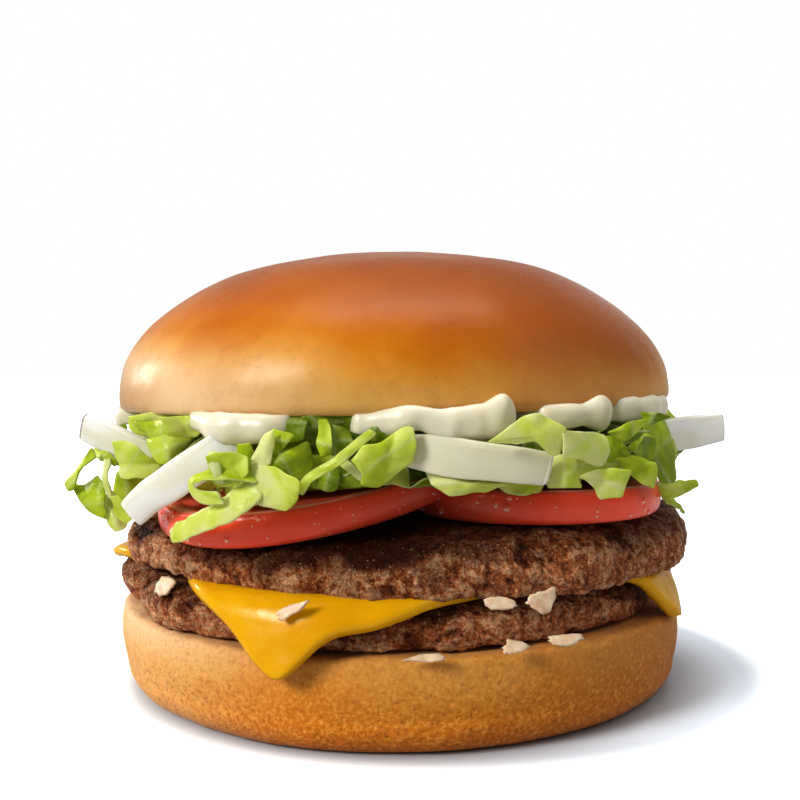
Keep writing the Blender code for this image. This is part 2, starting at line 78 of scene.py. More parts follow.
def noise(points, size, seed=0):
    """Smooth random values from -1 to 1 with lumps about as large as size."""
    place = points / size
    base = np.floor(place).astype(np.int64)
    part = place - base
    part = part**3 * (part * (part * 6 - 15) + 10)
    total = np.zeros(points.shape[:-1])
    for corner in itertools.product((0, 1), repeat=3):
        weight = np.prod(np.where(np.array(corner) == 1, part, 1 - part), axis=-1)
        total += weight * lattice(base + np.array(corner), seed)
    return total * 2 - 1


def fractal(points, size, octaves, seed=0):
    """Noise with finer noise added to it, each octave half as large and half as strong."""
    total, whole = 0.0, 0.0
    for octave in range(octaves):
        part = 0.5**octave
        total = total + part * noise(points, size * part, seed + 17 * octave)
        whole += part
    return total / whole


def dents(points, *layers):
    """Smooth relief: a sum of layers, each with its depth and its size in mm, its octaves and its seed."""
    return sum(depth * MM * fractal(points, size * MM, *rest) for depth, size, *rest in layers)


def chances(number, places, seed):
    """A repeatable number from 0 to 1 for each of a numbered thing's places."""
    return lattice(np.array([[number, *place] for place in places]), seed)


def cells(points, size, seed=0):
    """The distance to the nearest of one random point per cell, and that point's own random number."""
    place = points / size
    base = np.floor(place).astype(np.int64)
    near = np.full(points.shape[:-1], 9.0)
    number = np.zeros_like(near)
    for offset in itertools.product((-1, 0, 1), repeat=3):
        cell = base + np.array(offset)
        spot = cell + np.stack([lattice(cell, seed + k) for k in (1, 2, 3)], axis=-1)
        distance = np.linalg.norm(spot - place, axis=-1)
        number = np.where(distance < near, lattice(cell, seed + 4), number)
        near = np.minimum(near, distance)
    return near, number


def grains(points, size, seed, spread):
    """Round-topped grains whose height differs by up to the spread, 0 at most and below it in between."""
    near, number = cells(points, size, seed)
    return np.sqrt(np.clip(1 - near**2, 0, 1)) + spread * number - 1.0


def smooth(value):
    value = np.clip(value, 0.0, 1.0)
    return value * value * (3 - 2 * value)


def bump(bearing, centre, half_width):
    """1 at the centre bearing, falling smoothly to 0 at the half width."""
    off = np.abs((bearing - centre + 180) % 360 - 180)
    return smooth(1 - off / half_width)


def bumps(bearing, table):
    """The sum of the table's bumps, each with a size, a centre and a half width."""
    return sum(size * bump(bearing, centre, half_width) for size, centre, half_width in table)


def waves(bearing, terms):
    """The sum of cosines round the burger, each with a count, a size and a phase."""
    angle = np.radians(bearing)
    return sum(size * np.cos(count * angle + phase) for count, size, phase in terms)


# Meshes -------------------------------------------------------------------------------------------


def add_mesh(name, points, faces, finish, attributes=None):
    mesh = bpy.data.meshes.new(name)
    mesh.from_pydata(np.asarray(points).reshape(-1, 3).tolist(), [], faces)
    mesh.materials.append(finish)
    for label, values in (attributes or {}).items():
        layer = mesh.attributes.new(label, "FLOAT", "POINT")
        layer.data.foreach_set("value", np.asarray(values, dtype=np.float32).ravel())
    mesh.shade_smooth()
    mesh.update()
    obj = bpy.data.objects.new(name, mesh)
    bpy.context.scene.collection.objects.link(obj)
    return obj


def ring_faces(rows, columns):
    """Faces of a closed skin of rings, with two more points after them that close the first and the last."""
    index = np.arange(rows * columns).reshape(rows, columns)
    beside = np.roll(index, -1, axis=1)
    quads = np.stack([index[:-1], index[1:], beside[1:], beside[:-1]], axis=-1).reshape(-1, 4).tolist()
    top, under = rows * columns, rows * columns + 1
    cap = [[top, a, b] for a, b in zip(index[0].tolist(), beside[0].tolist())]
    cap += [[under, b, a] for a, b in zip(index[-1].tolist(), beside[-1].tolist())]
    return quads + cap


def capped(rings):
    """The rings' points or values in one list, and then the means of the first ring and of the last."""
    ends = [[rings[end].mean(axis=0)] for end in (0, -1)]
    return np.concatenate([rings.reshape(-1, *rings.shape[2:]), *ends])


def round_body(name, rings, finish, attributes=None):
    """A closed skin from an array of rings, top to bottom, each running by rising bearing."""
    rows, columns, _ = rings.shape
    padded = {label: capped(values) for label, values in (attributes or {}).items()}
    return add_mesh(name, capped(rings), ring_faces(rows, columns), finish, padded)


def shell(upper, under):
    """Points and faces of a closed skin between two grids, which share the upper one's rim."""
    rows, columns, _ = upper.shape
    index = np.arange(rows * columns).reshape(rows, columns)
    lower = index.copy()
    lower[1:-1, 1:-1] = rows * columns + np.arange((rows - 2) * (columns - 2)).reshape(rows - 2, columns - 2)
    faces = []
    for grid, order in ((index, 1), (lower, -1)):
        corners = [grid[:-1, :-1], grid[1:, :-1], grid[1:, 1:], grid[:-1, 1:]]
        faces += np.stack(corners[::order], axis=-1).reshape(-1, 4).tolist()
    return np.concatenate([upper.reshape(-1, 3), under[1:-1, 1:-1].reshape(-1, 3)]), faces


def on_shell(values):
    """Values of a grid's points in the order that shell puts them."""
    return np.concatenate([values.ravel(), values[1:-1, 1:-1].ravel()])


class Heap:
    """Small closed skins gathered into one mesh."""

    def __init__(self):
        self.points, self.faces, self.values, self.count = [], [], {}, 0

    def add(self, points, faces, **values):
        self.points.append(points)
        self.faces += [[corner + self.count for corner in face] for face in faces]
        self.count += len(points)
        for label, value in values.items():
            self.values.setdefault(label, []).append(value)

    def build(self, name, finish):
        values = {label: np.concatenate(parts) for label, parts in self.values.items()}
        return add_mesh(name, np.concatenate(self.points), self.faces, finish, values)


def unit(vectors):
    return vectors / np.maximum(np.linalg.norm(vectors, axis=-1, keepdims=True), 1e-12)


def facing(grid):
    """Unit normals of an open grid, on the side from which its rows turn anticlockwise to its columns."""
    return unit(np.cross(np.gradient(grid, axis=0), np.gradient(grid, axis=1)))


SPLINE_STEPS = 160


def spline(controls, shares):
    """Points at shares of the length of a smooth curve through the control points."""
    points = np.array(controls, dtype=float)
    padded = np.vstack([2 * points[0] - points[1], points, 2 * points[-1] - points[-2]])
    place = np.linspace(0, len(points) - 1, SPLINE_STEPS)
    index = np.minimum(place.astype(int), len(points) - 2)
    t = (place - index)[:, None]
    a, b, c, d = (padded[index + k] for k in range(4))
    dense = 0.5 * (2 * b + (c - a) * t + (2 * a - 5 * b + 4 * c - d) * t**2 + (3 * b - a - 3 * c + d) * t**3)
    length = np.concatenate([[0], np.cumsum(np.linalg.norm(np.diff(dense, axis=0), axis=1))])
    return np.stack([np.interp(shares * length[-1], length, dense[:, k]) for k in range(3)], axis=-1)


def jitter(points, size, seed):
    """Smooth random vectors."""
    return np.stack([noise(points, size, seed + k) for k in range(3)], axis=-1)


def rolled(along, out, angle):
    """Unit vectors square to a direction: the nearest to out and the one beside it, turned by an angle."""
    front = unit(out - (out * along).sum(axis=-1, keepdims=True) * along)
    side = np.cross(along, front)
    return front * np.cos(angle) + side * np.sin(angle), side * np.cos(angle) - front * np.sin(angle)


def outward(rings):
    """Unit normals of an array of rings."""
    around = np.roll(rings, -1, axis=1) - np.roll(rings, 1, axis=1)
    return unit(np.cross(np.gradient(rings, axis=0), around))


def bearings(columns):
    return np.arange(columns) * 360.0 / columns


NO_RISE = np.array([1, 1, 0])


def polar(bearing, radius, height):
    """Points from bearings, radii and heights that share a shape."""
    angle = np.radians(bearing)
    return np.stack([radius * np.sin(angle), -radius * np.cos(angle), height + 0 * radius], axis=-1)


# Materials ----------------------------------------------------------------------------------------


class Finish:
    """A material and the nodes that lead to its Principled shader. Textures' sizes and depths are in mm."""

    def __init__(self, name, **fixed):
        self.material = bpy.data.materials.new(name)
        self.material.use_nodes = True
        self.tree = self.material.node_tree
        self.shader = self.tree.nodes["Principled BSDF"]
        self.place = self.tree.nodes.new("ShaderNodeTexCoord").outputs["Object"]
        self.colour = self.normal = None
        for socket, value in fixed.items():
            self.shader.inputs[socket.replace("_", " ")].default_value = value

    def node(self, kind, inputs=(), **settings):
        node = self.tree.nodes.new("ShaderNode" + kind)
        for key, value in settings.items():
            setattr(node, key, value)
        for key, value in dict(inputs).items():
            if isinstance(value, bpy.types.NodeSocket):
                self.tree.links.new(value, node.inputs[key])
            else:
                node.inputs[key].default_value = value
        return node

    def noise(self, size, detail=2.0, roughness=0.5, distortion=0.0):
        inputs = {"Vector": self.place, "Scale": 1 / (size * MM), "Detail": detail, "Roughness": roughness}
        inputs["Distortion"] = distortion
        return self.node("TexNoise", inputs).outputs["Fac"]

    def voronoi(self, size):
        """The distance to the nearest of points scattered a size apart."""
        return self.node("TexVoronoi", {"Vector": self.place, "Scale": 1 / (size * MM)}).outputs["Distance"]

    def axis(self, letter):
        return self.node("SeparateXYZ", {"Vector": self.place}).outputs[letter]

    def attribute(self, name):
        return self.node("Attribute", attribute_name=name).outputs["Fac"]

    def range(self, value, low, high, to_low=0.0, to_high=1.0):
        inputs = {"Value": value, "From Min": low, "From Max": high, "To Min": to_low, "To Max": to_high}
        return self.node("MapRange", inputs, interpolation_type="SMOOTHSTEP").outputs["Result"]

    def along(self, letter, low, high, to_low, to_high):
        """A range along an axis, from one place in mm to another."""
        return self.range(self.axis(letter), low * MM, high * MM, to_low, to_high)

    def sum(self, *values):
        total = values[0]
        for value in values[1:]:
            total = self.node("Math", {0: total, 1: value}, operation="ADD").outputs[0]
        return total

    def times(self, a, b):
        return self.node("Math", {0: a, 1: b}, operation="MULTIPLY").outputs[0]

    def ramp(self, factor, *stops):
        """A colour that runs through stops of a place and an sRGB colour as the factor goes from 0 to 1."""
        node = self.node("ValToRGB", {"Fac": factor})
        band = node.color_ramp
        while len(band.elements) < len(stops):
            band.elements.new(0.5)
        for element, (place, *rgb) in zip(band.elements, stops):
            element.position = place
            element.color = (*srgb(*rgb), 1)
        return node.outputs["Color"]

    def mix(self, factor, a, b):
        node = self.node("Mix", data_type="RGBA", clamp_factor=True)
        for socket, value in ((node.inputs[0], factor), (node.inputs[6], a), (node.inputs[7], b)):
            if isinstance(value, bpy.types.NodeSocket):
                self.tree.links.new(value, socket)
            else:
                socket.default_value = value if isinstance(value, float) else (*value, 1)
        return node.outputs[2]

    def paint(self, factor, *rgb):
        """Turn the material's colour towards an sRGB one by a factor."""
        self.colour = self.mix(factor, self.colour, srgb(*rgb))

    def dent(self, height, depth, strength):
        """Bend the material's normal by a height, on top of what has bent it so far."""
        inputs = {"Height": height, "Distance": depth * MM, "Strength": strength}
        if self.normal:
            inputs["Normal"] = self.normal
        self.normal = self.node("Bump", inputs).outputs["Normal"]

    def finish(self, **links):
        """The material, its shader given the colour, the normal if there is one, and other outputs."""
        links["Base_Color"] = self.colour
        if self.normal:
            links["Normal"] = self.normal
        for socket, output in links.items():
            self.tree.links.new(output, self.shader.inputs[socket.replace("_", " ")])
        return self.material


def srgb(red, green, blue):
    """A linear colour from sRGB values of 0 to 255."""
    return tuple(((v / 255 + 0.055) / 1.055) ** 2.4 if v > 10 else v / 3294.6 for v in (red, green, blue))


def crust_finish():
    """Baked crust: pale foot, brown above, freckles and pores; painted light at left, painted shade at
    right.
    """
    base = CROWN[0].z
    made = Finish("crust", Specular_IOR_Level=0.14, IOR=1.45, Coat_Weight=0.18, Coat_Roughness=0.27,
                  Sheen_Weight=0.22, Sheen_Roughness=0.3)
    patch = made.noise(20, 2.0)
    # Shifted with X, the pale foot reaches higher at the left: painted light from the left.
    shift = made.times(made.axis("X"), 0.05)
    height = made.sum(made.axis("Z"), made.range(patch, 0.3, 0.7, -2.2 * MM, 2.2 * MM), shift)
    made.colour = made.ramp(
        made.range(height, base, base + 27 * MM),
        (0.0, 214, 170, 98),
        (0.14, 214, 156, 66),
        (0.34, 198, 126, 18),
        (0.6, 184, 106, 7),
        (1.0, 152, 78, 9),
    )
    # Painted light: the lower left is paled towards a light cream.
    left = made.along("X", -36, -4, 0.9, 0.0)
    low = made.range(made.axis("Z"), base + 2 * MM, base + 15 * MM, 1.0, 0.0)
    made.paint(made.times(left, low), 230, 198, 158)
    # Painted shade: the far left foot is darkened, toning that painted light down.
    end = made.along("X", -47, -33, 0.9, 0.0)
    made.paint(made.times(end, low), 186, 144, 92)
    # On the right, painted light pales the foot and painted shade darkens and browns it above.
    right = made.along("X", -4, 26, 0.0, 0.74)
    right = made.times(right, made.along("X", 34, 46, 1.0, 0.4))
    foot = made.range(made.axis("Z"), base + 2 * MM, base + 12 * MM, 1.0, 0.0)
    made.paint(made.times(right, foot), 222, 164, 100)
    painted_shade_right = made.range(made.axis("Z"), base + 3 * MM, base + 12 * MM, 0.1, 1.0)
    made.paint(made.times(right, painted_shade_right), 150, 76, 4)
    mottle = made.noise(3.2, 4.0, 0.6)
    made.paint(made.range(mottle, 0.4, 0.8, 0.0, 0.16), 160, 76, 14)
    freckle = made.voronoi(1.5)
    made.paint(made.range(freckle, 0.05, 0.2, 0.14, 0.0), 140, 64, 14)
    fine = made.noise(0.5, 3.0, 0.6)
    pores = made.range(made.voronoi(1.1), 0.0, 0.25, 0.0, 1.0)
    made.dent(fine, 0.05, 0.6)
    made.dent(pores, 0.06, 0.5)
    rough = made.range(made.noise(1.2, 3.0), 0.3, 0.7, 0.36, 0.5)
    return made.finish(Roughness=rough)


def crumb_finish():
    """The heel's grainy side: browner below, flecks, pores; painted light at left, painted shade at right.
    """
    made = Finish("crumb", Roughness=0.6, Specular_IOR_Level=0.2, IOR=1.4,
                  Sheen_Weight=0.12, Sheen_Roughness=0.4)
    patch = made.noise(14, 3.0)
    height = made.sum(made.axis("Z"), made.range(patch, 0.3, 0.7, -1.6 * MM, 1.6 * MM))
    made.colour = made.ramp(
        made.range(height, 0.0, HEEL[1].z),
        (0.0, 208, 124, 36),
        (0.3, 220, 142, 44),
        (0.65, 212, 144, 54),
        (1.0, 212, 156, 80),
    )
    # Painted light: paler towards the left; painted shade: darker towards the right.
    left = made.along("X", -48, -12, 0.7, 0.0)
    made.paint(left, 242, 200, 136)
    right = made.along("X", 10, 46, 0.0, 0.4)
    made.paint(right, 168, 96, 36)
    mottle = made.noise(2.0, 5.0, 0.65)
    made.paint(made.range(mottle, 0.42, 0.75, 0.0, 0.35), 204, 124, 44)
    # Painted light: the upper left is paler still.
    high = made.range(made.axis("Z"), 9 * MM, HEEL[1].z, 0.0, 1.0)
    made.paint(made.times(left, high), 234, 202, 164)
    fleck = made.noise(0.7, 4.0, 0.7)
    grainy = made.along("Z", 3, 14, 1.0, 0.45)
    light = made.range(fleck, 0.5, 0.66, 0.0, 0.6)
    made.paint(made.times(light, grainy), 252, 190, 104)
    dark = made.range(fleck, 0.34, 0.5, 0.62, 0.0)
    made.paint(made.times(dark, grainy), 170, 92, 26)
    pores = made.range(made.voronoi(1.3), 0.04, 0.3, 0.0, 1.0)
    made.dent(made.noise(0.7, 4.0, 0.65), 0.12, 0.8)
    made.dent(pores, 0.15, 0.6)
    return made.finish()


def beef_finish():
    """Fried minced beef, dark where seared, greasy in spots; painted shade in cracks, painted light on
    lumps.
    """
    made = Finish("beef", Roughness=0.5, IOR=1.45, Specular_IOR_Level=0.3)
    # The colour follows the relief: painted shade in the hollows, painted light on the lumps' tops.
    relief = made.attribute("relief")
    grain = made.noise(0.45, 6.0, 0.75)
    depth = made.sum(relief, made.range(grain, 0.25, 0.75, -0.42, 0.42))
    made.colour = made.ramp(
        depth,
        (0.0, 40, 15, 5),
        (0.3, 118, 58, 25),
        (0.55, 184, 102, 52),
        (0.8, 226, 144, 86),
        (1.0, 255, 208, 162),
    )
    patch = made.noise(5, 3.0)
    made.paint(made.range(patch, 0.52, 0.7, 0.0, 0.3), 176, 96, 40)
    seared = made.attribute("seared")
    made.paint(made.range(seared, 0.0, 0.5, 0.24, 0.0), 204, 136, 102)
    made.paint(made.times(seared, 0.7), 74, 29, 3)
    granule = made.noise(1.0, 4.0, 0.7, distortion=0.7)
    made.paint(made.range(granule, 0.38, 0.47, 0.46, 0.0), 56, 24, 10)
    # Painted highlight: small bright glints scattered over the meat.
    painted_glint = made.range(made.voronoi(0.8), 0.06, 0.2, 0.85, 0.0)
    made.paint(painted_glint, 255, 206, 156)
    made.dent(grain, 0.45, 0.9)
    made.dent(made.range(granule, 0.35, 0.6), 0.35, 0.9)
    wet = made.range(made.noise(0.5, 3.0, 0.7), 0.42, 0.58, 0.1, 0.6)
    return made.finish(Roughness=wet)


def cheese_finish():
    """Melted cheese: satin, a little see-through, faintly uneven."""
    made = Finish("cheese", Specular_IOR_Level=0.32, IOR=1.46, Subsurface_Weight=0.15,
                  Subsurface_Scale=1.2 * MM, Subsurface_Radius=(1.0, 0.5, 0.1))
    tone = made.noise(9, 3.0)
    made.colour = made.ramp(tone, (0.3, 222, 166, 0), (0.7, 230, 178, 0))
    made.dent(made.noise(4, 2.0), 0.25, 0.5)
    made.dent(made.noise(0.6, 3.0), 0.03, 0.5)
    rough = made.range(made.noise(3, 3.0), 0.3, 0.7, 0.2, 0.28)
    return made.finish(Roughness=rough)


def skin_finish():
    """Tomato: glossy skin round the side, a painted highlight at its edge, matt wet flesh on the cut faces.
    """
    made = Finish("tomato", IOR=1.4, Coat_Weight=0.5, Coat_Roughness=0.3, Subsurface_Weight=0.15,
                  Subsurface_Scale=1.2 * MM, Subsurface_Radius=(1.0, 0.2, 0.1))
    flesh, rim = made.attribute("flesh"), made.attribute("rim")
    tone = made.noise(6, 3.0)
    skin = made.ramp(tone, (0.3, 255, 88, 56), (0.7, 255, 100, 68))
    wall = made.ramp(made.noise(2.5, 4.0), (0.3, 255, 92, 66), (0.7, 255, 122, 92))
    made.colour = made.mix(flesh, skin, wall)
    # Painted highlight: a pale line along the skin's top edge.
    made.paint(made.times(rim, 0.9), 255, 186, 164)
    made.dent(made.noise(3, 2.0), 0.1, 0.5)
    grain = made.times(made.noise(0.5, 3.0), flesh)
    made.dent(grain, 0.2, 0.5)
    rough = made.range(flesh, 0.0, 1.0, 0.26, 0.4)
    return made.finish(Roughness=rough)


def drop_finish():
    """Water on the skin: painted light gathers in the lower half of each bead."""
    made = Finish("drops", Roughness=0.1, IOR=1.4, Specular_IOR_Level=0.5)
    made.colour = made.ramp(made.attribute("gather"), (0.0, 255, 112, 86), (1.0, 255, 222, 206))
    return made.finish()


def leaf_finish():
    """Lettuce: light shines through it; ribs and cut edges are paler; painted shade towards the right."""
    made = Finish("lettuce", Roughness=0.26, IOR=1.4, Specular_IOR_Level=0.36)
    tone, rib = made.attribute("tone"), made.attribute("rib")
    fade = made.noise(3.5, 3.0)
    tint = made.sum(tone, made.range(fade, 0.3, 0.7, -0.12, 0.12))
    made.colour = made.ramp(
        tint,
        (0.0, 244, 246, 186),
        (0.3, 230, 240, 116),
        (0.6, 204, 220, 40),
        (1.0, 140, 164, 4),
    )
    vein = made.range(made.noise(1.1, 3.0, 0.6, distortion=1.2), 0.46, 0.5, 0.0, 1.0)
    made.paint(made.times(vein, 0.12), 222, 230, 150)
    # Painted shade: darker and greener towards the right.
    away = made.along("X", 12, 46, 0.0, 0.05)
    made.paint(away, 134, 150, 20)
    made.paint(made.times(rib, 0.85), 236, 240, 196)
    made.dent(made.noise(0.8, 3.0, 0.6, distortion=0.8), 0.12, 0.7)
    made.finish()
    through = made.node("BsdfTranslucent", {"Color": made.colour, "Normal": made.normal})
    blend = made.node("MixShader", {0: 0.36, 1: made.shader.outputs[0], 2: through.outputs[0]})
    made.tree.links.new(blend.outputs[0], made.tree.nodes["Material Output"].inputs["Surface"])
    return made.material


def onion_finish():
    """Raw onion: pale and see-through, with fibres along it."""
    made = Finish("onion", Roughness=0.28, IOR=1.4, Subsurface_Weight=0.5, Subsurface_Scale=2.0 * MM,
                  Subsurface_Radius=(1.0, 0.95, 0.8))
    fibre = made.attribute("fibre")
    made.colour = made.ramp(fibre, (0.3, 240, 238, 224), (0.7, 250, 249, 242))
    # A warmer, darker tint on some strips: partly their own colour, partly painted shade.
    warm_and_shade = made.times(made.attribute("warm_and_shade"), 0.8)
    made.paint(warm_and_shade, 218, 212, 184)
    cut = made.attribute("cut")
    made.paint(made.times(cut, 0.5), 248, 248, 244)
    made.dent(fibre, 0.12, 0.6)
    made.dent(made.noise(0.7, 3.0), 0.08, 0.5)
    return made.finish()


def minced_finish():
    """Fried minced onion: mottled beige."""
    made = Finish("minced_onion", Roughness=0.35, IOR=1.4, Subsurface_Weight=0.4, Subsurface_Scale=1.0 * MM)
    tone = made.noise(1.6, 4.0)
    made.colour = made.ramp(tone, (0.3, 212, 182, 150), (0.7, 236, 216, 188))
    made.dent(made.noise(0.5, 3.0), 0.12, 0.7)
    return made.finish()


def mayo_finish():
    """Mayonnaise: creamy and soft."""
    made = Finish("mayonnaise", Roughness=0.34, IOR=1.46, Subsurface_Weight=0.5, Subsurface_Scale=1.5 * MM,
                  Subsurface_Radius=(1.0, 0.9, 0.7))
    tone = made.noise(6, 3.0)
    made.colour = made.ramp(tone, (0.3, 220, 213, 186), (0.7, 230, 224, 203))
    made.dent(made.noise(1.6, 2.0), 0.08, 0.5)
    return made.finish()


# Bun ----------------------------------------------------------------------------------------------

CROWN_CENTRE = Vector((-1.4 * MM, 0.0, 49.7 * MM))
CROWN_RADIUS = 50.2 * MM
CROWN_HEIGHT = 27.8 * MM
CROWN_CURL = 2.0 * MM
CROWN_TUCK = 0.9 * MM
CROWN_TILT = math.radians(1.0)
CROWN_SQUARENESS = 2.045
CROWN_LEAN = 0.045
CROWN_SHOULDER = 0.7 * MM
CROWN_SWELL = ((2, 0.004, 1.9), (3, 0.003, 0.4), (5, 0.0015, 2.6))
INNERMOST = 2 * MM


def crown(columns=320):
    """The crust of the top half: a dome with faint dents, its side tucked under to a flat cut face."""
    around = bearings(columns)[None, :]
    power = 2 / (CROWN_SQUARENESS - CROWN_LEAN * np.sin(np.radians(around)))
    dome = CROWN_HEIGHT - CROWN_CURL
    angle = np.radians(np.linspace(1.0, 90, 110))[:, None]
    radius = [CROWN_RADIUS * np.sin(angle) ** power]
    height = [CROWN_CURL + dome * np.cos(angle).clip(0) ** power]
    angle = np.radians(np.linspace(5, 90, 14))[:, None]
    radius.append(CROWN_RADIUS - CROWN_TUCK * (1 - np.cos(angle)) + 0 * around)
    height.append(CROWN_CURL * (1 - np.sin(angle)) + 0 * around)
    inner = np.linspace(CROWN_RADIUS - 2 * CROWN_TUCK, INNERMOST, 12)[:, None]
    radius.append(inner + 0 * around)
    height.append(0 * inner + 0 * around)
    radius, height = np.concatenate(radius), np.concatenate(height)
    rings = polar(around, radius * (1 + waves(around, CROWN_SWELL)), height)
    normal = outward(rings)
    relief = dents(rings, (0.4, 26, 2, 3), (0.07, 5, 3, 5))
    side = smooth(1 - height / (16 * MM))
    upright = rings * np.array([1.0, 1.0, 0.3])
    relief = relief + 0.09 * MM * side * noise(upright, 2.4 * MM, 9)
    relief = relief * smooth(height / (1.5 * MM))
    rings = rings + normal * relief[..., None]
    shoulder = np.exp(-(((radius / CROWN_RADIUS - 0.6) / 0.16) ** 2)) * (height > CROWN_CURL)
    rings[..., 2] += CROWN_SHOULDER * shoulder
    obj = round_body("crown", rings, crust_finish())
    tilt = Euler((0, -CROWN_TILT, 0)).to_matrix().to_4x4()
    obj.data.transform(Matrix.Translation(CROWN_CENTRE) @ tilt)
    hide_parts("bun_crown")
    return obj


HEEL_CENTRE = np.array([-0.3, 0.0, 0.0]) * MM
HEEL_TOP_RADIUS = 50.8 * MM
HEEL_SIDE_RADIUS = 50.3 * MM
HEEL_BASE_RADIUS = 45.2 * MM
HEEL_BASE_ROUND = 5.6 * MM
HEEL_TOP_ROUND = 1.4 * MM
HEEL_BELLY = 0.5 * MM
HEEL_SWELL = ((2, 0.004, 0.6), (3, 0.004, 2.0), (5, 0.002, 1.0))


def heel_profile():
    """Radii and heights of the heel's outline from the top middle to the base middle."""
    top = HEEL[1].z
    side_top = top - HEEL_TOP_ROUND
    flat = HEEL_TOP_RADIUS - HEEL_TOP_ROUND
    radius = [np.linspace(INNERMOST, flat - 0.4 * MM, 24)]
    height = [np.full(24, top)]
    angle = np.radians(np.linspace(90, 0, 12))
    radius.append(flat + HEEL_TOP_ROUND * np.cos(angle))
    height.append(side_top + HEEL_TOP_ROUND * np.sin(angle))
    share = np.linspace(0.04, 0.96, 30)
    belly = HEEL_BELLY * np.sin(np.pi * share)
    radius.append(HEEL_TOP_RADIUS + (HEEL_SIDE_RADIUS - HEEL_TOP_RADIUS) * share + belly)
    height.append(side_top + (HEEL_BASE_ROUND - side_top) * share)
    angle = np.radians(np.linspace(0, 90, 26))
    radius.append(HEEL_BASE_RADIUS + (HEEL_SIDE_RADIUS - HEEL_BASE_RADIUS) * np.cos(angle))
    height.append(HEEL_BASE_ROUND * (1 - np.sin(angle)))
    radius.append(np.linspace(HEEL_BASE_RADIUS - 2 * MM, INNERMOST, 8))
    height.append(np.zeros(8))
    return np.concatenate(radius)[:, None], np.concatenate(height)[:, None]


def heel(columns=520):
    """The bottom half: soft pitted crust on the side, a cut top whose edge is a little ragged."""
    radius, height = heel_profile()
    around = bearings(columns)[None, :]
    rings = polar(around, radius * (1 + waves(around, HEEL_SWELL)), height)
    normal = outward(rings)
    relief = dents(rings, (0.3, 14, 2, 31), (0.1, 2.6, 3, 37))
    near, number = cells(rings, 2.2 * MM, 41)
    pits = smooth(1 - near / 0.34) * (number > 0.55)
    relief = relief - 0.22 * MM * pits
    edge = smooth(1 - np.abs(height - HEEL[1].z) / (1.6 * MM))
    edge = edge * smooth((radius - 0.9 * HEEL_TOP_RADIUS) / (3 * MM))
    relief = relief + edge * dents(rings, (0.25, 3, 2, 43))
    relief = relief * smooth(height / (1.0 * MM))
    rings = rings + normal * relief[..., None]
    obj = round_body("heel", rings + HEEL_CENTRE, crumb_finish())
    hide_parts("bun_heel")
    return obj


# Patties ------------------------------------------------------------------------------------------

LOWER_CENTRE = np.array([-2.0, 0.0, 0.0]) * MM
UPPER_CENTRE = np.array([0.6, 0.0, 0.0]) * MM
LOWER_RADIUS = 48.6 * MM
LOWER_FLOOR = 15.5 * MM
LOWER_TOP = 21.6 * MM
UPPER_RADIUS = 50.2 * MM
UPPER_FLOOR = 24.1 * MM
UPPER_TOP = 32.3 * MM
PATTY_LIP = 1.5 * MM
PATTY_LIP_RISE = 0.34
PATTY_ROUNDNESS = 0.9
# how far the rim's top stands out over its foot: everywhere, and more at the left
OVERHANG = 0.3 * MM
LEFT_OVERHANG = 2.0 * MM
# where round the rim it is more seared, and where less: how much, the bearing and the half width in degrees
SEARING = ((0.5, -8, 34), (-0.4, -62, 26), (-0.35, 30, 18))


def lower_reach(bearing):
    """How far the lower patty's rim lies from its middle."""
    crack = 2.4 * bump(bearing, -66, 6) + 1.4 * bump(bearing, 118, 8) + 1.2 * bump(bearing, 201, 6)
    ripple = waves(bearing, ((2, 0.5, 0.3), (3, 0.5, 1.7), (7, 0.35, 0.5), (11, 0.3, 2.2)))
    return LOWER_RADIUS + (ripple - crack + 2.4 * bump(bearing, -86, 18)) * MM


def upper_reach(bearing):
    """How far the upper patty's rim lies from its middle."""
    crack = 1.6 * bump(bearing, -112, 8) + 1.8 * bump(bearing, 142, 7) + 1.0 * bump(bearing, 24, 6)
    ripple = waves(bearing, ((2, 0.6, 3.0), (3, 0.4, 0.2), (7, 0.4, 1.9), (11, 0.3, 0.7)))
    bulge = 0.9 * bump(bearing, 74, 30) - 0.8 * bump(bearing, -82, 20)
    return UPPER_RADIUS + (ripple - crack + bulge) * MM


def upper_dip(x, y):
    """How far the upper patty's top lies below its middle."""
    away = np.hypot(x, y) / UPPER_RADIUS
    lean = bump(np.degrees(np.arctan2(x, -y)), -42, 66)
    return (2.4 * lean * smooth((away - 0.35) / 0.5) + 0.9 * smooth((away - 0.72) / 0.3)) * MM


def upper_slump(x, y):
    """How far the upper patty's floor sags over the rim of what is below it."""
    away = np.hypot(x, y) / UPPER_RADIUS
    return (1.6 * smooth((away - 0.92) / 0.07)) * MM


def level_ground(x, y):
    """The lower patty's top and floor neither dip nor sag."""
    return 0 * x


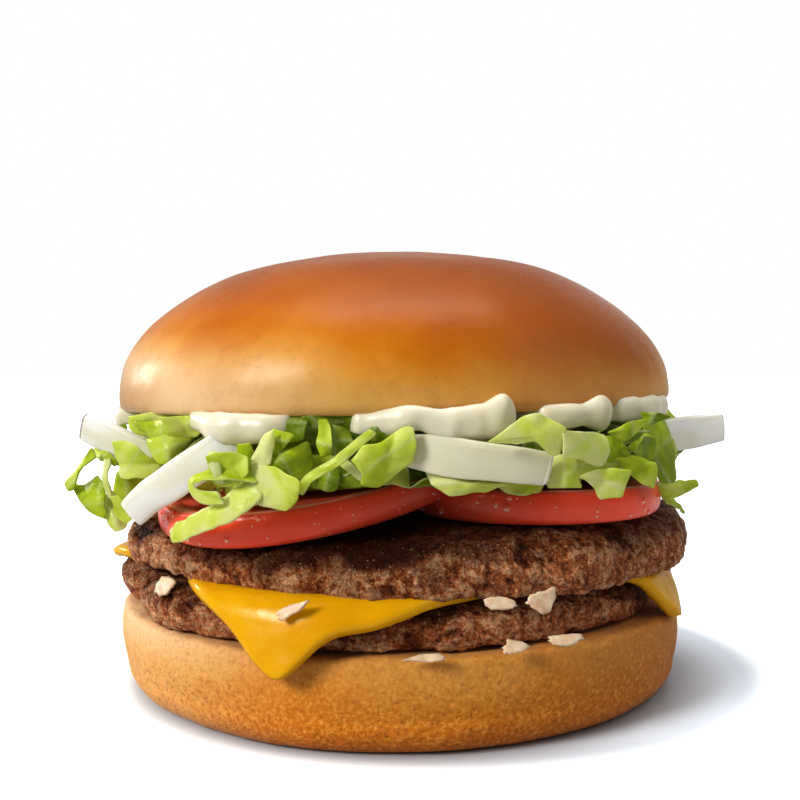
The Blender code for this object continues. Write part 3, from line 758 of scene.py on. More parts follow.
def patty(name, node, seed, centre, reach, floor, ceiling, dip, slump, shoulder, columns=760):
    """Minced beef: a disc with a broad shoulder and a full lower lip, its skin crumbly at several sizes."""
    thickness = ceiling - floor
    share = np.concatenate([np.linspace(0.02, 0.7, 7), np.linspace(0.74, 1.0, 18)])
    angle = np.radians(np.linspace(2, 90, 34))
    under = np.radians(np.linspace(4, 90, 16))
    sine, cosine = np.sin(angle) ** PATTY_ROUNDNESS, np.cos(angle) ** PATTY_ROUNDNESS
    under_sine, under_cosine = np.sin(under) ** PATTY_ROUNDNESS, np.cos(under) ** PATTY_ROUNDNESS
    rise = [PATTY_LIP_RISE + (1 - PATTY_LIP_RISE) * cosine, PATTY_LIP_RISE * (1 - under_sine)]
    around = bearings(columns)[None, :]
    circle = polar(around, np.full((1, columns), 50 * MM), seed * MM)
    brim = reach(around) + dents(circle, (0.5, 9, 3, seed))
    out = np.concatenate(
        [
            share[:, None] * (brim - shoulder),
            brim - shoulder * (1 - sine)[:, None],
            brim - PATTY_LIP * (1 - under_cosine)[:, None],
            share[::-3][:, None] * (brim - PATTY_LIP),
        ]
    )
    level = np.concatenate([np.ones(len(share)), *rise, np.zeros(len(share[::-3]))])[:, None]
    overhang = LEFT_OVERHANG * bump(around, -88, 75) + OVERHANG
    out = out + overhang * smooth((out / brim - 0.6) / 0.4) * (2 * level - 1) / 2
    place = centre + polar(around, out, 0)
    top = ceiling - dip(place[..., 0], place[..., 1])
    base = floor - slump(place[..., 0], place[..., 1])
    place[..., 2] = base + (top - base) * level
    normal = outward(place)
    warped = place + jitter(place, 3 * MM, seed + 61) * 1.2 * MM
    clumps = grains(warped, 5.5 * MM, seed + 7, 0.4)
    lumps = grains(warped, 2.5 * MM, seed + 1, 0.5)
    crumbs = grains(warped, 1.05 * MM, seed + 2, 0.5)
    grit = fractal(warped, 0.7 * MM, 2, seed + 3)
    pits = smooth((noise(warped, 2.2 * MM, seed + 4) - 0.42) / 0.2)
    swell = fractal(place, 12 * MM, 2, seed + 5)
    relief = 0.8 * clumps + 0.62 * lumps + 0.4 * crumbs + 0.2 * grit + 0.3 * swell - 0.25 * pits
    away = np.hypot(place[..., 0] - centre[0], place[..., 1])
    strength = 0.2 + 0.8 * smooth((away / brim - 0.78) / 0.1)
    strength = strength * np.where(level < 0.02, 0.3, 1.0) * min(1.0, thickness / (7 * MM))
    place = place + normal * (relief * strength * MM)[..., None]
    # Painted shade and light: darker in the pits and between grains, paler on their tops.
    shade = 0.68 + 0.5 * clumps + 0.5 * lumps + 0.46 * crumbs + 0.4 * grit - 0.3 * pits
    seared = smooth((level - 0.35 + 0.3 * noise(place, 5 * MM, seed + 6)) / 0.5)
    seared = seared + bumps(around, SEARING)
    values = {"relief": np.clip(shade, 0, 1), "seared": seared + 0 * shade}
    obj = round_body(name, place, beef_material, values)
    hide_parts(node)
    return obj


# Cheese -------------------------------------------------------------------------------------------

CHEESE_HALF_SIDE = 44.5 * MM
CHEESE_THICKNESS = 1.9 * MM
CHEESE_BEARING = math.radians(-20.0)
CHEESE_SLIP = 2.0 * MM
CHEESE_FOLD = 3.6 * MM
CHEESE_BEND = 2.0 * MM
CHEESE_CLEARANCE = 1.6 * MM
CHEESE_HANG = math.radians(76.0)
CHEESE_PINCH = 0.05
CHEESE_CORNER_LOSS = 0.06
CHEESE_HANG_TRIES = 4
# changes round the slice, each with the bearing it is centred on and its half width in degrees: its edge's
# reach as a share, its corners' drift in degrees, and how much steeper it hangs in degrees
CHEESE_RUNS = ((0.07, 4, 22), (0.02, -24, 16), (-0.024, -11, 9), (-0.05, 68, 20), (0.04, -38, 12),
               (-0.1, -110, 20), (-0.035, 55, 11))
CHEESE_DRIFTS = ((2.0, -20, 30), (-5.0, 70, 36), (22.0, -110, 50))
CHEESE_DROOPS = ((-26.0, -95, 40), (11.0, 82, 30))
CHEESE_LEVEL = CHEESE[1].z - 0.9 * MM


def cheese(cells_across=140):
    """A square slice, melted over the patty's rim at its corners, with a rounded edge all round."""
    u, v = np.meshgrid(*[np.linspace(-1, 1, cells_across)] * 2, indexing="ij")
    edge_gap = np.minimum(1 - np.abs(u), 1 - np.abs(v)) * CHEESE_HALF_SIDE
    ahead = np.array([math.sin(CHEESE_BEARING), -math.cos(CHEESE_BEARING), 0])
    across = np.array([math.cos(CHEESE_BEARING), math.sin(CHEESE_BEARING), 0])
    side, other = (ahead + across) / math.sqrt(2), (ahead - across) / math.sqrt(2)
    pinch_u = u * (1 - CHEESE_PINCH * (1 - v * v))
    pinch_v = v * (1 - CHEESE_PINCH * (1 - u * u))
    softened = 1 - CHEESE_CORNER_LOSS * (u * v) ** 10
    flat = pinch_u[..., None] * side + pinch_v[..., None] * other
    flat = flat * (CHEESE_HALF_SIDE * softened)[..., None]
    flat = flat + ahead * CHEESE_SLIP - LOWER_CENTRE
    bearing = np.degrees(np.arctan2(flat[..., 0], -flat[..., 1]))
    run = 1 + bumps(bearing, CHEESE_RUNS)
    bearing = bearing + bumps(bearing, CHEESE_DRIFTS)
    distance = np.hypot(flat[..., 0], flat[..., 1]) * run
    fold = lower_reach(bearing) + CHEESE_CLEARANCE + CHEESE_THICKNESS / 2 - CHEESE_FOLD
    heel_edge = HEEL_TOP_RADIUS * (1 + waves(bearing, HEEL_SWELL))
    apart = (HEEL_CENTRE - LOWER_CENTRE)[0]
    clear = heel_edge + apart * np.sin(np.radians(bearing)) + 0.3 * MM + CHEESE_THICKNESS / 2
    steepest = CHEESE_HANG + np.radians(bumps(bearing, CHEESE_DROOPS))
    hang = steepest
    for _ in range(CHEESE_HANG_TRIES):
        radius = fold + CHEESE_FOLD * np.sin(hang)
        height = CHEESE_LEVEL - CHEESE_FOLD * (1 - np.cos(hang))
        hang = np.minimum(steepest, np.arctan2(height - HEEL[1].z, clear - radius))
    past = np.maximum(distance - fold, 0)
    turn = np.minimum(past / CHEESE_FOLD, hang)
    straight = np.maximum(past - CHEESE_FOLD * hang, 0)
    slope = np.minimum(straight, np.maximum(clear - radius, 0) / np.cos(hang))
    bend = np.minimum((straight - slope) / CHEESE_BEND, steepest - hang)
    drop = straight - slope - CHEESE_BEND * bend
    radius = np.minimum(distance, fold) + CHEESE_FOLD * np.sin(turn) + slope * np.cos(hang)
    radius = radius + CHEESE_BEND * (np.sin(hang + bend) - np.sin(hang)) + drop * np.cos(steepest)
    height = CHEESE_LEVEL - CHEESE_FOLD * (1 - np.cos(turn)) - slope * np.sin(hang)
    height = height - CHEESE_BEND * (np.cos(hang) - np.cos(hang + bend)) - drop * np.sin(steepest)
    middle = LOWER_CENTRE + polar(bearing, radius, height)
    normal = -facing(middle)
    normal = normal * np.sign(normal[cells_across // 2, cells_across // 2, 2])
    melt = dents(middle, (0.35, 7, 2, 71)) * smooth(past / (3 * MM))
    middle = middle + normal * melt[..., None]
    round_share = np.clip(edge_gap / (1.1 * MM), 0, 1)
    half = CHEESE_THICKNESS / 2 * np.sqrt(1 - (1 - round_share) ** 2)
    half = half * (1 + 0.12 * noise(middle, 5 * MM, 73))
    points, faces = shell(middle - normal * half[..., None], middle + normal * half[..., None])
    obj = add_mesh("cheese", points, faces, cheese_finish())
    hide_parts("cheese_slice")
    return obj


# Tomatoes -----------------------------------------------------------------------------------------

TOMATO_LEVEL = UPPER[1].z + 0.4 * MM
TOMATO_THICKNESS = 5.2 * MM
TOMATO_BULGE = 0.4 * MM
TOMATO_SWELL = ((2, 0.012, 0.4), (3, 0.008, 1.1), (5, 0.004, 2.0))
TOMATO_EDGE = 0.55 * MM
TOMATO_SUNKEN = 0.35 * MM


class Slice:
    """Where a tomato slice lies: its underside's middle, radius, rise to the right and back, and bend."""

    def __init__(self, name, x, y, level, radius, rise_right=0.0, rise_back=0.0, bend=0.0):
        self.name, self.radius, self.bend = name, radius * MM, bend
        self.middle = np.array([x * MM, y * MM, level])
        self.rise_right, self.rise_back = rise_right, rise_back

    def underside(self, x, y):
        x, y = x - self.middle[0], y - self.middle[1]
        sag = self.bend * (x * x + y * y) / self.radius
        return self.middle[2] + self.rise_right * x + self.rise_back * y - sag

    def over(self, x, y, margin):
        """The top's height where the slice or a margin round it lies, else nothing to clear."""
        away = np.hypot(x - self.middle[0], y - self.middle[1])
        top = self.underside(x, y) + TOMATO_THICKNESS
        return np.where(away < self.radius + margin, top, 0.0)


SLICES = (
    Slice("tomato_left", -14.0, -17.0, 35.7 * MM, 28.0, 0.165, 0.15, 0.02),
    Slice("tomato_right", 22.0, -18.5, TOMATO_LEVEL, 22.2),
    Slice("tomato_back", -1.0, 26.5, TOMATO_LEVEL, 20.0),
)


def above_slices(x, y, margin):
    """The highest top of the slices that lie at a place or within a margin of it."""
    return np.maximum.reduce([place.over(x, y, margin) for place in SLICES])


def slice_skin(place, bearing, share):
    """A point of a slice's side, at a share of its thickness; works on arrays."""
    radius = place.radius * (1 + waves(bearing, TOMATO_SWELL)) + TOMATO_BULGE * np.sin(np.pi * share)
    flat = polar(bearing, radius - TOMATO_BULGE, 0) + place.middle
    flat[..., 2] = place.underside(flat[..., 0], flat[..., 1]) + share * TOMATO_THICKNESS
    return flat


def tomato(place, columns=240):
    """A slice with its skin round the side, slightly raised at the rim above sunken wet flesh."""
    inner = np.concatenate([np.linspace(0.04, 0.9, 26), np.linspace(0.92, 0.985, 8)])
    around = bearings(columns)[None, :]
    edge = np.array([0.0, 0.005, 0.015, 0.035])
    shares = np.concatenate([1 - edge, np.linspace(0.94, 0.06, 30), edge[::-1]])
    inset = TOMATO_EDGE * np.abs(2 * shares - 1) ** 8
    skin = slice_skin(place, around, shares[:, None] + 0 * around)
    centre = place.middle + np.array([0, 0, TOMATO_THICKNESS / 2])
    skin = skin - unit((skin - centre) * NO_RISE) * inset[:, None, None]
    top = centre + (skin[:1] - centre) * inner[:, None, None]
    top[..., 2] = place.underside(top[..., 0], top[..., 1]) + TOMATO_THICKNESS
    below = inner[::-4]
    low = centre + (skin[-1:] - centre) * below[:, None, None]
    low[..., 2] = place.underside(low[..., 0], low[..., 1])
    top[..., 2] += dents(top, (0.25, 3, 3, 81)) - TOMATO_SUNKEN * smooth((0.97 - inner) / 0.05)[:, None]
    rings = np.concatenate([top, skin, low])
    flesh = [np.ones(len(inner)), np.zeros(len(shares)), np.ones(len(below))]
    # A highlight is painted along the skin's top edge.
    rim = [np.zeros(len(inner)), smooth(1 - (1 - shares) / 0.05), np.zeros(len(below))]
    rows = {"flesh": flesh, "rim": rim}
    values = {label: np.concatenate(parts)[:, None] + 0 * around for label, parts in rows.items()}
    obj = round_body(f"{place.name}_slice", rings, skin_material, values)
    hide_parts(place.name)
    return obj


# the number of drops on each slice and the bearings between which they lie
DROPS = ((66, -150, 75), (56, -60, 130), (34, 90, 270))
DROP_RINGS, DROP_COLUMNS = 7, 12
DROP_HEIGHT = 0.42
DROP_ROOT = 0.3


def drops():
    """Beads of water on the skins, as flattened domes of several sizes."""
    heap = Heap()
    chance = np.random.default_rng(5)
    up = np.array([0, 0, 1.0])
    lean = np.linspace(0, np.pi / 2 + 0.5, DROP_RINGS + 1)[1:, None]
    turn = np.linspace(0, 2 * np.pi, DROP_COLUMNS, endpoint=False)[None, :]
    # Painted light: each bead is paler in its lower half.
    gather = np.concatenate([smooth((-np.sin(lean) * np.sin(turn) - 0.15) / 0.5).ravel(), [0.0, 0.0]])
    for place, (count, low, high) in zip(SLICES, DROPS):
        for _ in range(count):
            bearing, share = chance.uniform(low, high), chance.uniform(0.12, 0.88)
            size = MM * (0.14 + 0.46 * chance.random() ** 3)
            spot = slice_skin(place, np.array([bearing]), np.array([share]))[0]
            out = polar(np.array([bearing]), np.array([1.0]), 0)[0]
            stretch = 1 + 0.9 * chance.random() ** 2
            round_it = np.cos(turn)[..., None] * np.cross(up, out) + stretch * np.sin(turn)[..., None] * up
            dome = size * (np.sin(lean)[..., None] * round_it + DROP_HEIGHT * np.cos(lean)[..., None] * out)
            ends = [[spot + DROP_HEIGHT * size * out], [spot - DROP_ROOT * size * out]]
            points = np.concatenate([(spot + dome).reshape(-1, 3), *ends])
            heap.add(points, ring_faces(DROP_RINGS, DROP_COLUMNS), gather=gather)
    obj = heap.build("water_drops", drop_finish())
    return obj


# Mayonnaise ---------------------------------------------------------------------------------------

# bearing, half width in degrees, rise above and drop below the plain layer's edge, and reach outwards, in mm
ROPES = (
    (-76, 10, 0.4, 1.0, 1.0),
    (-34, 8, 0.2, 0.8, 1.2),
    (-27, 9.0, 0.2, 2.6, 2.6),
    (-20, 5.5, 0.1, 1.5, 1.6),
    (-5, 5, 0.0, 0.9, 0.8),
    (0, 5, 0.8, 0.9, 1.4),
    (4, 5, 1.1, 0.1, 1.8),
    (9.5, 6, 0.7, 2.4, 2.2),
    (15, 5, 1.0, 2.0, 2.0),
    (18.5, 4, 2.0, 0.4, 1.6),
    (32, 11, 0.5, 0.9, 1.4),
    (39, 5, 1.5, 1.3, 1.2),
    (50, 12, 1.0, 0.5, 1.1),
    (61, 11, 1.0, 0.4, 1.0),
    (66, 6, 0.4, 0.3, 0.4),
    (98, 10, 0.9, 1.8, 1.4),
    (124, 8, 1.2, 0.8, 1.6),
    (150, 12, 0.5, 2.6, 1.5),
    (178, 8, 1.4, 0.8, 1.8),
    (204, 11, 0.8, 1.9, 1.6),
    (236, 9, 1.0, 1.2, 1.4),
    (262, 8, 0.3, 0.9, 0.9),
)
ROPE_TOP = CROWN_CENTRE.z + 0.4 * MM
ROPE_FOOT = CROWN_CENTRE.z - 1.6 * MM


def lifted(bearing):
    """How far the crown's tilt raises its underside at its rim."""
    return math.tan(CROWN_TILT) * CROWN_RADIUS * np.sin(np.radians(bearing))


def spread_row(radius, level, middle, bearing):
    """The radii and heights of a ring of the spread's flat faces, its radius in mm, inside the ropes."""
    return np.minimum(radius * MM, middle - 0.4 * MM), level + lifted(bearing) * radius / 50


def mayonnaise(columns=600):
    """A spread layer under the crown that swells out into ropes and hangs in soft drips."""
    around = bearings(columns)
    rise, drop, reach = (sum(row[k] * bump(around, row[0], row[1]) for row in ROPES) * MM for k in (2, 3, 4))
    ring = polar(around, np.full(columns, 50 * MM), 0)
    uneven = dents(ring, (1.0, 6, 2, 91))
    rise, drop = rise + 0.3 * uneven, drop + 0.5 * np.abs(uneven)
    top, foot = ROPE_TOP + rise + lifted(around), ROPE_FOOT - drop + lifted(around)
    thick = 0.45 * MM + 0.55 * reach
    middle = 44.4 * MM + 4.8 * MM * smooth(reach / (0.8 * MM)) + 0.8 * reach
    rows = [spread_row(r, ROPE_TOP, middle, around) for r in (2, 12, 24, 34, 42, 46.5, 48.2)]
    for angle in np.radians(np.linspace(118, -118, 44)):
        height = (top + foot) / 2 + (top - foot) / 2 * math.sin(angle)
        rows.append((middle + thick * math.cos(angle), height))
    rows += [spread_row(r, ROPE_FOOT, middle, around) for r in (47.5, 45, 40, 30, 15, 2)]
    radius, height = np.array(rows).swapaxes(0, 1)
    rings = polar(around[None, :], radius, height) + np.array([CROWN_CENTRE.x, 0, 0])
    lumps = dents(rings, (0.3, 4.5, 2, 93)) * smooth((radius - 47 * MM) / (2 * MM))
    rings = rings + outward(rings) * lumps[..., None]
    obj = round_body("mayonnaise_ropes", rings, mayo_finish())
    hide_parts("mayonnaise")
    return obj


# Onions -------------------------------------------------------------------------------------------

ONION_WIDTH = 5.4 * MM
ONION_THICKNESS = 2.2 * MM
# start, middle and end in mm, and roll about the length in degrees
ONION_STRIPS = (
    ((0.6, -50.4, 44.9), (10.8, -51.6, 43.5), (20.8, -49.4, 42.0), 2),
    ((-42.8, -31.6, 33.4), (-33.2, -41.4, 40.3), (-23.0, -45.8, 46.6), 30),
    ((-36.5, -27.0, 41.0), (-45.0, -26.0, 43.6), (-53.0, -24.6, 46.9), 0),
    ((38.5, -22.5, 44.0), (47.5, -17.2, 44.8), (56.6, -12.0, 45.6), 0),
    ((45.3, 21.3, 39.2), (40.0, 31.3, 41.8), (31.8, 39.0, 43.8), 4),
    ((8.6, 43.0, 41.4), (16.4, 48.2, 42.4), (24.4, 53.6, 43.2), 0),
    ((-10.8, 49.3, 43.2), (-21.8, 46.6, 41.0), (-31.6, 39.8, 38.2), 5),
    ((-37.5, 34.5, 41.2), (-43.6, 27.2, 42.8), (-47.3, 18.4, 44.0), 0),
)
# how much of the warmer, darker tint each strip gets: partly its own colour, partly painted shade
ONION_WARMTH_AND_SHADE = (1.0, 0.0, 0.1, 0.0, 0.6, 0.3, 0.7, 0.4)


def onion_strip(number, start, middle, end, roll):
    """A strip cut from an onion layer and bent like it, with fine fibres along it and clean cut ends."""
    start, middle, end = (np.array(point) * MM for point in (start, middle, end))
    half = np.linalg.norm(end - start) / 2
    edge, power, seed = 0.5 * MM, 0.22, 300 + 7 * number
    turn = np.linspace(0, 2 * np.pi, 48, endpoint=False)
    face = np.sign(np.cos(turn)) * np.abs(np.cos(turn)) ** power
    thick = np.sign(np.sin(turn)) * np.abs(np.sin(turn)) ** power
    bevel = np.sin(np.linspace(0.15, 1.0, 6) * np.pi / 2)
    tip = -1 + (edge / half) * (1 - np.cos(np.arcsin(bevel)))
    between = np.linspace(-0.96, 0.96, 50)
    along = np.concatenate([tip, between, -tip[::-1]])[:, None]
    shrink = np.concatenate([bevel, np.ones(len(between)), bevel[::-1]])[:, None]
    taper = 1 - 0.12 * np.abs(along) ** 3
    wide = (ONION_WIDTH / 2 * taper - edge * (1 - shrink)) * face
    deep = (ONION_THICKNESS / 2 * taper - edge * (1 - shrink)) * thick * (1 - 0.25 * face**2)
    slanted = along + 0.12 * np.sin(seed) * wide / half
    across, bulge = ((end - start) / 2)[None, None], ((start + end) / 2 - middle)[None, None]
    place = slanted[..., None]
    heading = unit(across + 2 * bulge * place)
    front, side = rolled(heading, unit(middle * NO_RISE), math.radians(roll))
    strand = np.stack([along * 1.4 + 0 * wide, wide / (0.5 * MM), deep / MM + seed], axis=-1)
    fibre = noise(strand, 1.0, seed)
    deep = deep + 0.05 * MM * fibre * np.sign(thick)
    rings = middle + across * place + bulge * place**2 + front * deep[..., None] + side * wide[..., None]
    rings = rings + jitter(rings, 7 * MM, seed + 2) * 0.3 * MM
    values = {"fibre": 0.5 + 0.5 * fibre, "cut": smooth((np.abs(along) - 0.93) / 0.05) + 0 * fibre}
    values["warm_and_shade"] = ONION_WARMTH_AND_SHADE[number - 1] + 0 * fibre
    obj = round_body(f"onion_{number}", rings[::-1], onion_material, {k: v[::-1] for k, v in values.items()})
    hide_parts(f"onion_strip_{number}")
    return obj


CHIP_THICKNESS = 0.52 * MM
# x, y, z, length and width in mm, heading, lean and tilt in degrees
MINCED = (
    (-37.6, -33.0, 21.8, 5.0, 3.4, -48, 50, 0),
    (-15.4, -52.3, 22.6, 5.4, 1.5, -16, 60, 26),
    (14.0, -50.2, 23.0, 4.6, 2.0, 14, 60, 0),
    (20.2, -48.4, 22.9, 4.6, 3.2, 24, 84, 0),
    (3.6, -52.0, 15.7, 5.2, 1.3, 2, 40, 0),
    (16.4, -49.6, 16.7, 3.8, 1.9, 15, 50, 0),
    (24.2, -47.0, 17.0, 5.4, 1.9, 26, 45, 0),
    (47.6, 8.0, 22.6, 5.0, 3.0, 80, 50, 0),
    (43.0, 25.0, 16.2, 5.0, 3.0, 120, 20, 0),
    (20.0, 47.0, 22.9, 5.4, 3.0, 200, 60, 0),
    (4.0, 50.6, 15.9, 4.6, 3.0, 180, 20, 0),
    (-24.0, 43.6, 22.6, 5.2, 3.2, 150, 50, 0),
    (-44.0, 26.0, 16.2, 5.0, 2.6, 240, 20, 0),
    (-49.0, 6.0, 16.4, 4.4, 2.8, 270, 30, 0),
)


def minced_onion():
    """Chips of minced onion that cling between the patties and on the heel's rim."""
    heap = Heap()
    grid = np.meshgrid(np.linspace(-1, 1, 15), np.linspace(-1, 1, 11), indexing="ij")
    for number, (x, y, z, length, width, heading, lean, tilt) in enumerate(MINCED):
        u, v = grid
        seed = 400 + 5 * number
        skew = chances(number, [(k, 5) for k in (1, 2, 3)], 8) - 0.5
        rounded = 1 - 0.24 * (u * v) ** 2
        ragged = 1 + 0.16 * noise(np.stack([u, v, 0 * u + seed], axis=-1), 0.5, seed)
        ragged = ragged + 0.1 * noise(np.stack([u, v, 0 * u + seed], axis=-1), 0.2, seed + 2)
        u, v = u * (1 + 0.6 * skew[0] * v) + 0.5 * skew[1] * v, v * (1 + 0.9 * skew[2] * u)
        size = (rounded * ragged)[..., None] * MM
        flat = np.stack([u * length / 2, v * width / 2, 0 * u], axis=-1) * size
        flat[..., 2] = -0.1 * flat[..., 0] ** 2 / MM / 4 + 0.25 * MM * noise(flat, 2 * MM, seed + 1)
        rim = np.clip(np.minimum(1 - np.abs(grid[0]), 1 - np.abs(grid[1])) / 0.2, 0, 1)
        half = CHIP_THICKNESS / 2 * np.sqrt(1 - (1 - rim) ** 2)
        normal = facing(flat)
        points, faces = shell(flat + normal * half[..., None], flat - normal * half[..., None])
        turn = Euler((math.radians(lean), -math.radians(tilt), math.radians(heading))).to_matrix()
        heap.add(points @ np.array(turn).T + np.array([x, y, z]) * MM, faces)
    obj = heap.build("minced_onion", minced_finish())
    return obj


# Lettuce ------------------------------------------------------------------------------------------

LEAF_LENGTHS = np.concatenate([[0, 0.015], np.linspace(0.05, 0.95, 23), [0.985, 1]])
LEAF_WIDTHS = np.concatenate([[-1, -0.95], np.linspace(-0.75, 0.75, 7), [0.95, 1]])
LEAF_THICKNESS = 0.18 * MM


def leaf(heap, controls, width, roll=0.0, turn=0.0, fold=0.3, ruffle=0.2, tip=0.0, rib=0.0, tone=0.5,
         seed=0):
    """One shred along a curve of mm points, rolled about it and turned along it by degrees."""
    line = spline(controls, LEAF_LENGTHS) * MM
    length = np.linalg.norm(np.diff(line, axis=0), axis=1).sum() / MM
    along = unit(np.gradient(line, axis=0))
    s, v = LEAF_LENGTHS[:, None], LEAF_WIDTHS[None, :]
    out = unit(line * NO_RISE) + np.array([0, 0, 0.25])
    face, side = rolled(along, out, np.radians(roll + turn * (s - 0.5)))
    chance = chances(seed, [(k, 7) for k in range(6)], 1)
    end = (1 - np.abs(2 * s - 1) ** 24) ** 0.5
    track = np.stack([s * length + 0 * v, 3 * np.sign(v) + 0 * s, 0 * s + 0 * v + seed], axis=-1)
    half = width / 2 * MM * (1 - tip * s**1.3) * (0.35 + 0.65 * end)
    half = half * (1 + 0.2 * noise(track, 4.5, seed) + 0.07 * noise(track, 1.3, seed + 1))
    lateral = v * half
    slanted = (chance[0] - 0.5) * 1.2 * lateral
    frill = np.abs(v) ** 1.6 * np.sin(6.3 * (track[..., 0] / 3.6 + chance[1]) + 1.5 * v)
    crease = np.sqrt((v - 0.5 * (chance[2] - 0.5)) ** 2 + 0.004)
    phase = track[..., 0] / (3.6 + 2.4 * chance[3]) + (chance[4] - 0.5) * 1.6 * v + chance[5]
    zigzag = np.abs(2 * (phase % 1) - 1) - 0.5
    lift = -fold * half * crease + ruffle * MM * frill
    lift = lift + 0.16 * half * zigzag * (1 + noise(track, 5.0, seed + 5))
    grid = line[:, None] + side[:, None] * lateral[..., None] + face[:, None] * lift[..., None]
    grid = grid + along[:, None] * slanted[..., None]
    grid = grid + jitter(grid, 8 * MM, seed + 11) * 0.5 * MM
    ridge = rib * np.exp(-((lateral / (0.7 * MM)) ** 2)) * (1 - 0.5 * s)
    half_thick = LEAF_THICKNESS / 2 + 0.4 * MM * ridge * np.minimum(1, 6 * (1 - np.abs(2 * s - 1)))
    normal = facing(grid)
    points, faces = shell(grid + normal * half_thick[..., None], grid - normal * half_thick[..., None])
    # The tone follows the crinkles' zigzag: painted shade on the folds.
    shade = tone + 0.2 * noise(grid, 6 * MM, seed + 21) + 0.25 * (zigzag + 0.2)
    pale = np.clip(ridge + 0.55 * (np.abs(v) > 0.9) + 0.4 * (np.abs(2 * s - 1) > 0.96), 0, 1)
    heap.add(points, faces, tone=on_shell(shade), rib=on_shell(pale + 0 * shade))


SCRAP_SHARES = np.array([0.1, 0.32, 0.54, 0.74, 0.88, 0.97, 1.0])
SCRAP_CORNERS = 44
SCRAP_FOLDS = 3
SCRAP_FOLD = 0.9
SCRAP_RUFFLE = 0.5
SCRAP_CUP = 0.15


def scrap(heap, outline, depth, tone, seed):
    """A flat scrap of leaf, its outline in (x, z) mm seen from the front, depth mm before the axis."""
    flat = np.array([(x, 0, z) for x, z in outline + outline[:1]])
    if (flat[:-1, 0] * flat[1:, 2] - flat[1:, 0] * flat[:-1, 2]).sum() < 0:
        flat = flat[::-1]
    shares = np.arange(SCRAP_CORNERS) / SCRAP_CORNERS
    legs = np.linalg.norm(np.diff(flat, axis=0), axis=1)
    length = np.concatenate([[0], np.cumsum(legs)]) / legs.sum()
    straight = np.stack([np.interp(shares, length, flat[:, k]) for k in range(3)], axis=-1)
    rim = 0.5 * straight + 0.5 * spline(flat, shares)
    rim = rim + jitter(rim, 1.7, 900 + seed) * np.array([0.22, 0, 0.22])
    middle = rim.mean(axis=0)
    size = np.abs(rim - middle).max()
    grid = middle + SCRAP_SHARES[:, None, None] * (rim - middle)
    x, z = (grid - middle)[..., 0], (grid - middle)[..., 2]
    slope = float(np.clip(middle[0] / depth, -0.5, 0.5))
    spread = np.broadcast_to(SCRAP_SHARES[:, None], x.shape)
    back = slope * x - depth - SCRAP_CUP * size * (1 - spread**2)
    chance = chances(seed, [(k, 9) for k in range(3 * SCRAP_FOLDS)], 3).reshape(SCRAP_FOLDS, 3)
    vein, facet = 0 * x, 0 * x
    for turn, offset, steep in chance:
        away = x * math.cos(math.pi * turn) + z * math.sin(math.pi * turn) - (offset - 0.5) * 0.7 * size
        tilt = SCRAP_FOLD * (steep - 0.5) * 2
        back = back + tilt * (np.sqrt(away**2 + 0.01) + away) / 2
        vein = np.maximum(vein, np.exp(-((away / 0.25) ** 2)) * (steep > 0.6))
        facet = facet + 0.5 * tilt * np.sign(away)
    back = back + SCRAP_RUFFLE * spread**2 * noise(grid, 2.4, 930 + seed)
    back = back + 0.2 * noise(grid, 1.2, 960 + seed)
    grid[..., 1] = back
    out = np.array([slope, -1, 0]) / math.hypot(slope, 1) * LEAF_THICKNESS / 2 / MM
    edge = np.where(SCRAP_SHARES < 0.99, 1.0, 0.0)[:, None, None]
    rings = np.concatenate([grid + out * edge, (grid - out * edge)[-2::-1]]) * MM
    # Painted shade: the two sides of each fold get a lighter and a darker tone.
    shade = tone + 0.15 * noise(grid, 3.0, 990 + seed) - 0.2 * facet
    pale = np.clip(0.5 * vein + 0.3 * (spread > 0.98), 0, 1)
    tones, ribs = (capped(np.concatenate([value, value[-2::-1]])) for value in (shade, pale))
    heap.add(capped(rings), ring_faces(len(rings), SCRAP_CORNERS), tone=tones, rib=ribs)


